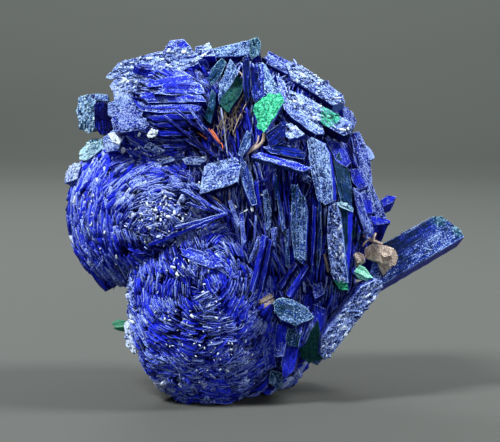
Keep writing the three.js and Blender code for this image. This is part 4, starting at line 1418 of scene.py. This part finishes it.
def dress_core():
    """The dark mass that the crystals stand on, a little inside the solid's lobes."""
    growth = Growth()
    for seed, lobe in enumerate(LOBES.values()):
        bpy.ops.object.select_all(action="DESELECT")
        bpy.ops.mesh.primitive_ico_sphere_add(subdivisions=5, radius=1)
        made = bpy.context.object
        bpy.ops.object.mode_set(mode="EDIT")
        bpy.ops.mesh.select_all(action="SELECT")
        points, faces = taken(made)
        spots = points * np.array(lobe.half)
        bumps = 0.03 * noise(spots, 1.2, seed) + 0.02 * noise(spots, 0.5, seed + 1)
        points = points * (CORE_SHARE + bumps)[:, None]
        habit = Habit(points, faces, np.zeros(len(points)), np.zeros(len(points), dtype=bool))
        growth.add(habit, np.eye(3)[None], np.array([lobe.at]), np.array([lobe.half]), CORE_LOOK)
    growth.build("crystal_bed", AZURITE)


def dress_plates():
    for seed, row in enumerate(COVERS):
        growth = Growth()
        cover(growth, row, seed)
        growth.build(f"{row.lobe}_plates_{seed}", AZURITE)


def dress_blades():
    growth = Growth()
    ledges = Growth()
    for seed, row in enumerate(CRYSTALS):
        crystal = Traced(row)
        add_crystal(growth, crystal, seed)
        add_ledges(ledges, crystal, seed)
        add_scales(ledges, crystal, seed)
    add_flecks(ledges)
    growth.build("face_crystals", AZURITE)
    ledges.build("face_ledges", AZURITE)
    growth = Growth()
    for seed, row in enumerate(SHINGLES):
        add_shingles(growth, *row, seed)
    growth.build("side_blades", AZURITE)


# Folds of clay and faces of malachite, traced as the crystals are. lift is over the node's middle.
PIECES = {
    "clay_lump": (
        ("left fold", ((362, 248), (370, 243), (377, 245), (379, 262), (370, 260), (362, 257)),
         1.5, (-25, 10), (2, 1, 2), "", ""),
        ("top fold", ((374, 244), (383, 245), (391, 248), (388, 255), (379, 256)),
         1.8, (5, 25), (0, 2, 2), "", ""),
        ("right fold", ((386, 252), (392, 249), (395, 256), (393, 264), (386, 266)),
         1.4, (30, 0), (-2, 0, 2), "", ""),
        ("lower fold", ((376, 258), (388, 255), (391, 264), (384, 271), (378, 269)),
         1.5, (0, -25), (0, -2, 2), "", ""),
        ("tail", ((372, 258), (377, 260), (383, 272), (380, 274)), 1.0, (-10, 0), (1, 0, 1), "", ""),
    ),
    "clay_crumb": (
        ("crumb's face", ((350, 254), (355, 251), (361, 254), (362, 260), (355, 263)),
         0.8, (5, 15), (1, 2, 1.5), "", ""),
        ("crumb's foot", ((352, 259), (359, 258), (358, 266), (353, 265)),
         0.5, (-10, -10), (0, 0, 1), "", ""),
    ),
    "malachite_right": (
        ("upper face", ((351, 270), (357, 264), (362, 266), (370, 277), (364, 277)),
         0.9, (5, 25), (0, 2, 1.5), "", ""),
        ("lower face", ((351, 271), (364, 277), (367, 281), (356, 277)),
         0.7, (0, -15), (0, 0, 1.5), "", ""),
    ),
    "malachite_left": (
        ("long face", ((113, 322), (120, 318), (129, 320), (129, 325), (118, 327)),
         0.7, (-10, 20), (1, 1, 1.4), "navy", "navy"),
        ("under face", ((115, 327), (129, 325), (129, 331), (121, 330)),
         0.5, (0, -20), (1, -1, 1.4), "navy", "navy"),
    ),
}

# Strands of clay and rust between the crystals: their points in the photograph, and radius in mm.
STRANDS = {
    "clay": [
        (((247, 94), (242, 100), (239, 108), (234, 117)), 0.07),
        (((228, 68), (227, 74), (225, 79)), 0.14),
        (((239, 74), (243, 77), (244, 84)), 0.1),
        (((263, 137), (264, 143), (260, 149), (252, 153), (244, 158)), 0.22),
        (((258, 139), (259, 146), (254, 151), (247, 153)), 0.14),
        (((247, 106), (242, 115), (238, 125), (234, 136)), 0.07),
        (((322, 253), (324, 262), (326, 270)), 0.2),
        (((259, 299), (264, 296), (270, 293)), 0.4),
        (((262, 303), (267, 300), (272, 298)), 0.35),
        (((231, 194), (229, 203), (232, 210)), 0.1),
        (((214, 198), (219, 200), (222, 204)), 0.12),
    ],
    "rust": [
        (((210, 132), (214, 137), (218, 144), (222, 151)), 0.1),
        (((213, 133), (217, 140), (221, 147)), 0.09),
        (((211, 136), (215, 143), (220, 150)), 0.08),
        (((215, 135), (218, 140), (221, 145)), 0.07),
        (((200, 136), (204, 139), (208, 142)), 0.1),
        (((222, 146), (225, 149), (223, 154)), 0.08),
    ],
    "lump": [
        (((362, 235), (368, 239), (374, 242), (381, 244)), 0.24),
        (((371, 241), (372, 236), (374, 233)), 0.2),
        (((366, 240), (363, 242), (361, 246)), 0.16),
    ],
}


STRAND_FINISHES = {"clay": CLAY, "rust": RUST, "lump": CLAY, "thread": THREAD}

# How far out each kind lies: over the lobes, or at least so far.
STRAND_RISE = {"clay": 0.9, "rust": 1.5, "lump": 0.9, "thread": 0.9}
STRAND_DEPTH = {"clay": 0, "rust": 0, "lump": 4.6, "thread": 0}
THREADS = 34
THREAD_POINTS = 6


def dress_small_pieces():
    for node, rows in PIECES.items():
        slot = node.split("_")[0]
        finish = CLAY if slot == "clay" else MALACHITE
        box = np.array(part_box(node)) / MM @ FACE
        growth = Growth()
        for seed, row in enumerate(map(Crystal._make, rows)):
            add_crystal(growth, Traced(row, box[:, 2].mean() + row.lift), seed)
        growth.build(node + "_faces", finish, node)


def matted():
    """Fine threads that wander down from under the teal blades to where the fan's plates meet."""
    draw = np.random.default_rng(8)
    right, left = np.array(NET_PX)
    rows = []
    for _ in range(THREADS):
        start = right + draw.random() * (left - right) + draw.normal(0, 3, 2)
        end = start + (draw.uniform(-9, 5), draw.uniform(12, 30))
        steps = np.linspace(0, 1, THREAD_POINTS)[:, None]
        spots = start * (1 - steps) + end * steps + draw.normal(0, 2.2, (THREAD_POINTS, 2))
        rows.append((spots, draw.uniform(0.025, 0.055)))
    return rows


def add_strand(curve, spots, radius, item, name):
    """One crooked strand that lies over the crystals."""
    line = curve.splines.new("NURBS")
    line.points.add(len(spots) - 1)
    line.use_endpoint_u = True
    for k, spot in enumerate(spots):
        u, v = at_pixel(*spot)
        w = max(skin(u, v) + STRAND_RISE[name], STRAND_DEPTH[name]) + 0.3 * either(item, k)
        line.points[k].co = (*world([u, v, w]), 1)
        line.points[k].radius = radius * (0.8 + 0.5 * chance(item, 9 + k))


def dress_strands():
    for name, rows in (*STRANDS.items(), ("thread", matted())):
        curve = bpy.data.curves.new(name + "_strands", "CURVE")
        curve.dimensions = "3D"
        curve.bevel_depth = MM
        curve.bevel_resolution = 1
        curve.use_fill_caps = True
        for item, (spots, radius) in enumerate(rows):
            add_strand(curve, spots, radius, item, name)
        made = bpy.data.objects.new(name + "_strands", curve)
        bpy.context.scene.collection.objects.link(made)
        bpy.ops.object.select_all(action="DESELECT")
        made.select_set(True)
        bpy.context.view_layer.objects.active = made
        bpy.ops.object.convert(target="MESH")
        made.data.materials.append(STRAND_FINISHES[name])
        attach(made, "root")
        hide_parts("azurite_cluster")


# The floor's colours under the specimen, behind it and up the backdrop, and its size in metres. They grow
# paler where less light falls: painted light that evens out the floor.
FLOOR_NEAR = (0.052, 0.058, 0.054, 1)
FLOOR_FAR = (0.068, 0.076, 0.071, 1)
BACKDROP = (0.15, 0.167, 0.156, 1)
FLOOR_DROP = 0.00003
FLOOR_FRONT = -0.6
FLOOR_SIDE = 1.2
BACKDROP_AT = 0.9
BACKDROP_TOP = 0.7
SWEEP = 0.3


def lay_floor():
    """A dark floor that sweeps up behind into a paler backdrop."""
    finish = Finish("floor")
    away = Number(finish, finish.node("ShaderNodeSeparateXYZ", None, {0: finish.spot}).outputs[1])
    # Paler away from the specimen: painted light that makes up for the lamps' fall-off.
    colour = finish.mix(finish.over(away, 0, 450), FLOOR_NEAR, FLOOR_FAR)
    colour = finish.mix(finish.over(away, 500, 850), colour, BACKDROP)
    material = finish.surface({"Base Color": colour, "Roughness": 0.9})
    profile = [(FLOOR_FRONT, -FLOOR_DROP), (BACKDROP_AT - SWEEP, -FLOOR_DROP)]
    profile += [
        (BACKDROP_AT - SWEEP + SWEEP * math.sin(a), SWEEP - SWEEP * math.cos(a))
        for a in np.radians(np.arange(10, 91, 10))
    ]
    profile.append((BACKDROP_AT, BACKDROP_TOP))
    mesh = bpy.data.meshes.new("floor")
    points = [(x, y, z) for y, z in profile for x in (-FLOOR_SIDE, FLOOR_SIDE)]
    faces = [(2 * k, 2 * k + 1, 2 * k + 3, 2 * k + 2) for k in range(len(profile) - 1)]
    mesh.from_pydata(points, [], faces)
    mesh.materials.append(material)
    floor = bpy.data.objects.new("floor", mesh)
    bpy.context.scene.collection.objects.link(floor)
    for face in mesh.polygons:
        face.use_smooth = True


def light(name, place, target, size, power):
    lamp = bpy.data.lights.new(name, "AREA")
    lamp.size = size
    lamp.energy = power
    made = bpy.data.objects.new(name, lamp)
    made.location = place
    made.rotation_mode = "QUATERNION"
    made.rotation_quaternion = (Vector(place) - Vector(target)).to_track_quat("Z", "Y")
    bpy.context.scene.collection.objects.link(made)


def set_lights():
    middle = (0.0, 0.0, 0.028)
    light("key", (-0.2, -0.16, 0.36), middle, 0.1, 3.0)
    light("side", (0.26, -0.02, 0.26), middle, 0.1, 1.8)
    light("front", (0.06, -0.5, 0.16), middle, 0.16, 0.7)
    light("rear", (-0.15, 0.45, 0.35), middle, 0.2, 1.3)
    light("backdrop", (0.0, 0.2, 0.5), (0.0, 0.9, 0.16), 0.5, 4.2)
    sky = bpy.data.worlds.new("studio")
    sky.use_nodes = True
    glow = sky.node_tree.nodes["Background"].inputs
    glow["Color"].default_value = (0.9, 0.95, 1.0, 1)
    glow["Strength"].default_value = 0.04
    bpy.context.scene.world = sky
    bpy.context.scene.view_settings.view_transform = "Standard"


LENS_MM = 150
SENSOR_MM = 36


def set_camera():
    """At the photograph's angle, square to the leaning face."""
    lens = bpy.data.cameras.new("camera")
    lens.lens = LENS_MM
    lens.sensor_width = SENSOR_MM
    width = PHOTO_WIDTH_PX * PIXEL_MM * MM
    distance = width * LENS_MM / SENSOR_MM
    u, v = at_pixel(*CAMERA_PX)
    camera = bpy.data.objects.new("camera", lens)
    camera.location = Vector(world([u, v, distance / MM]))
    camera.rotation_euler = (math.radians(90) - LEAN, 0, 0)
    lens.clip_start = 0.01
    bpy.context.scene.collection.objects.link(camera)
    bpy.context.scene.camera = camera


set_camera()
dress_core()
dress_plates()
dress_blades()
dress_small_pieces()
dress_strands()
lay_floor()
set_lights()
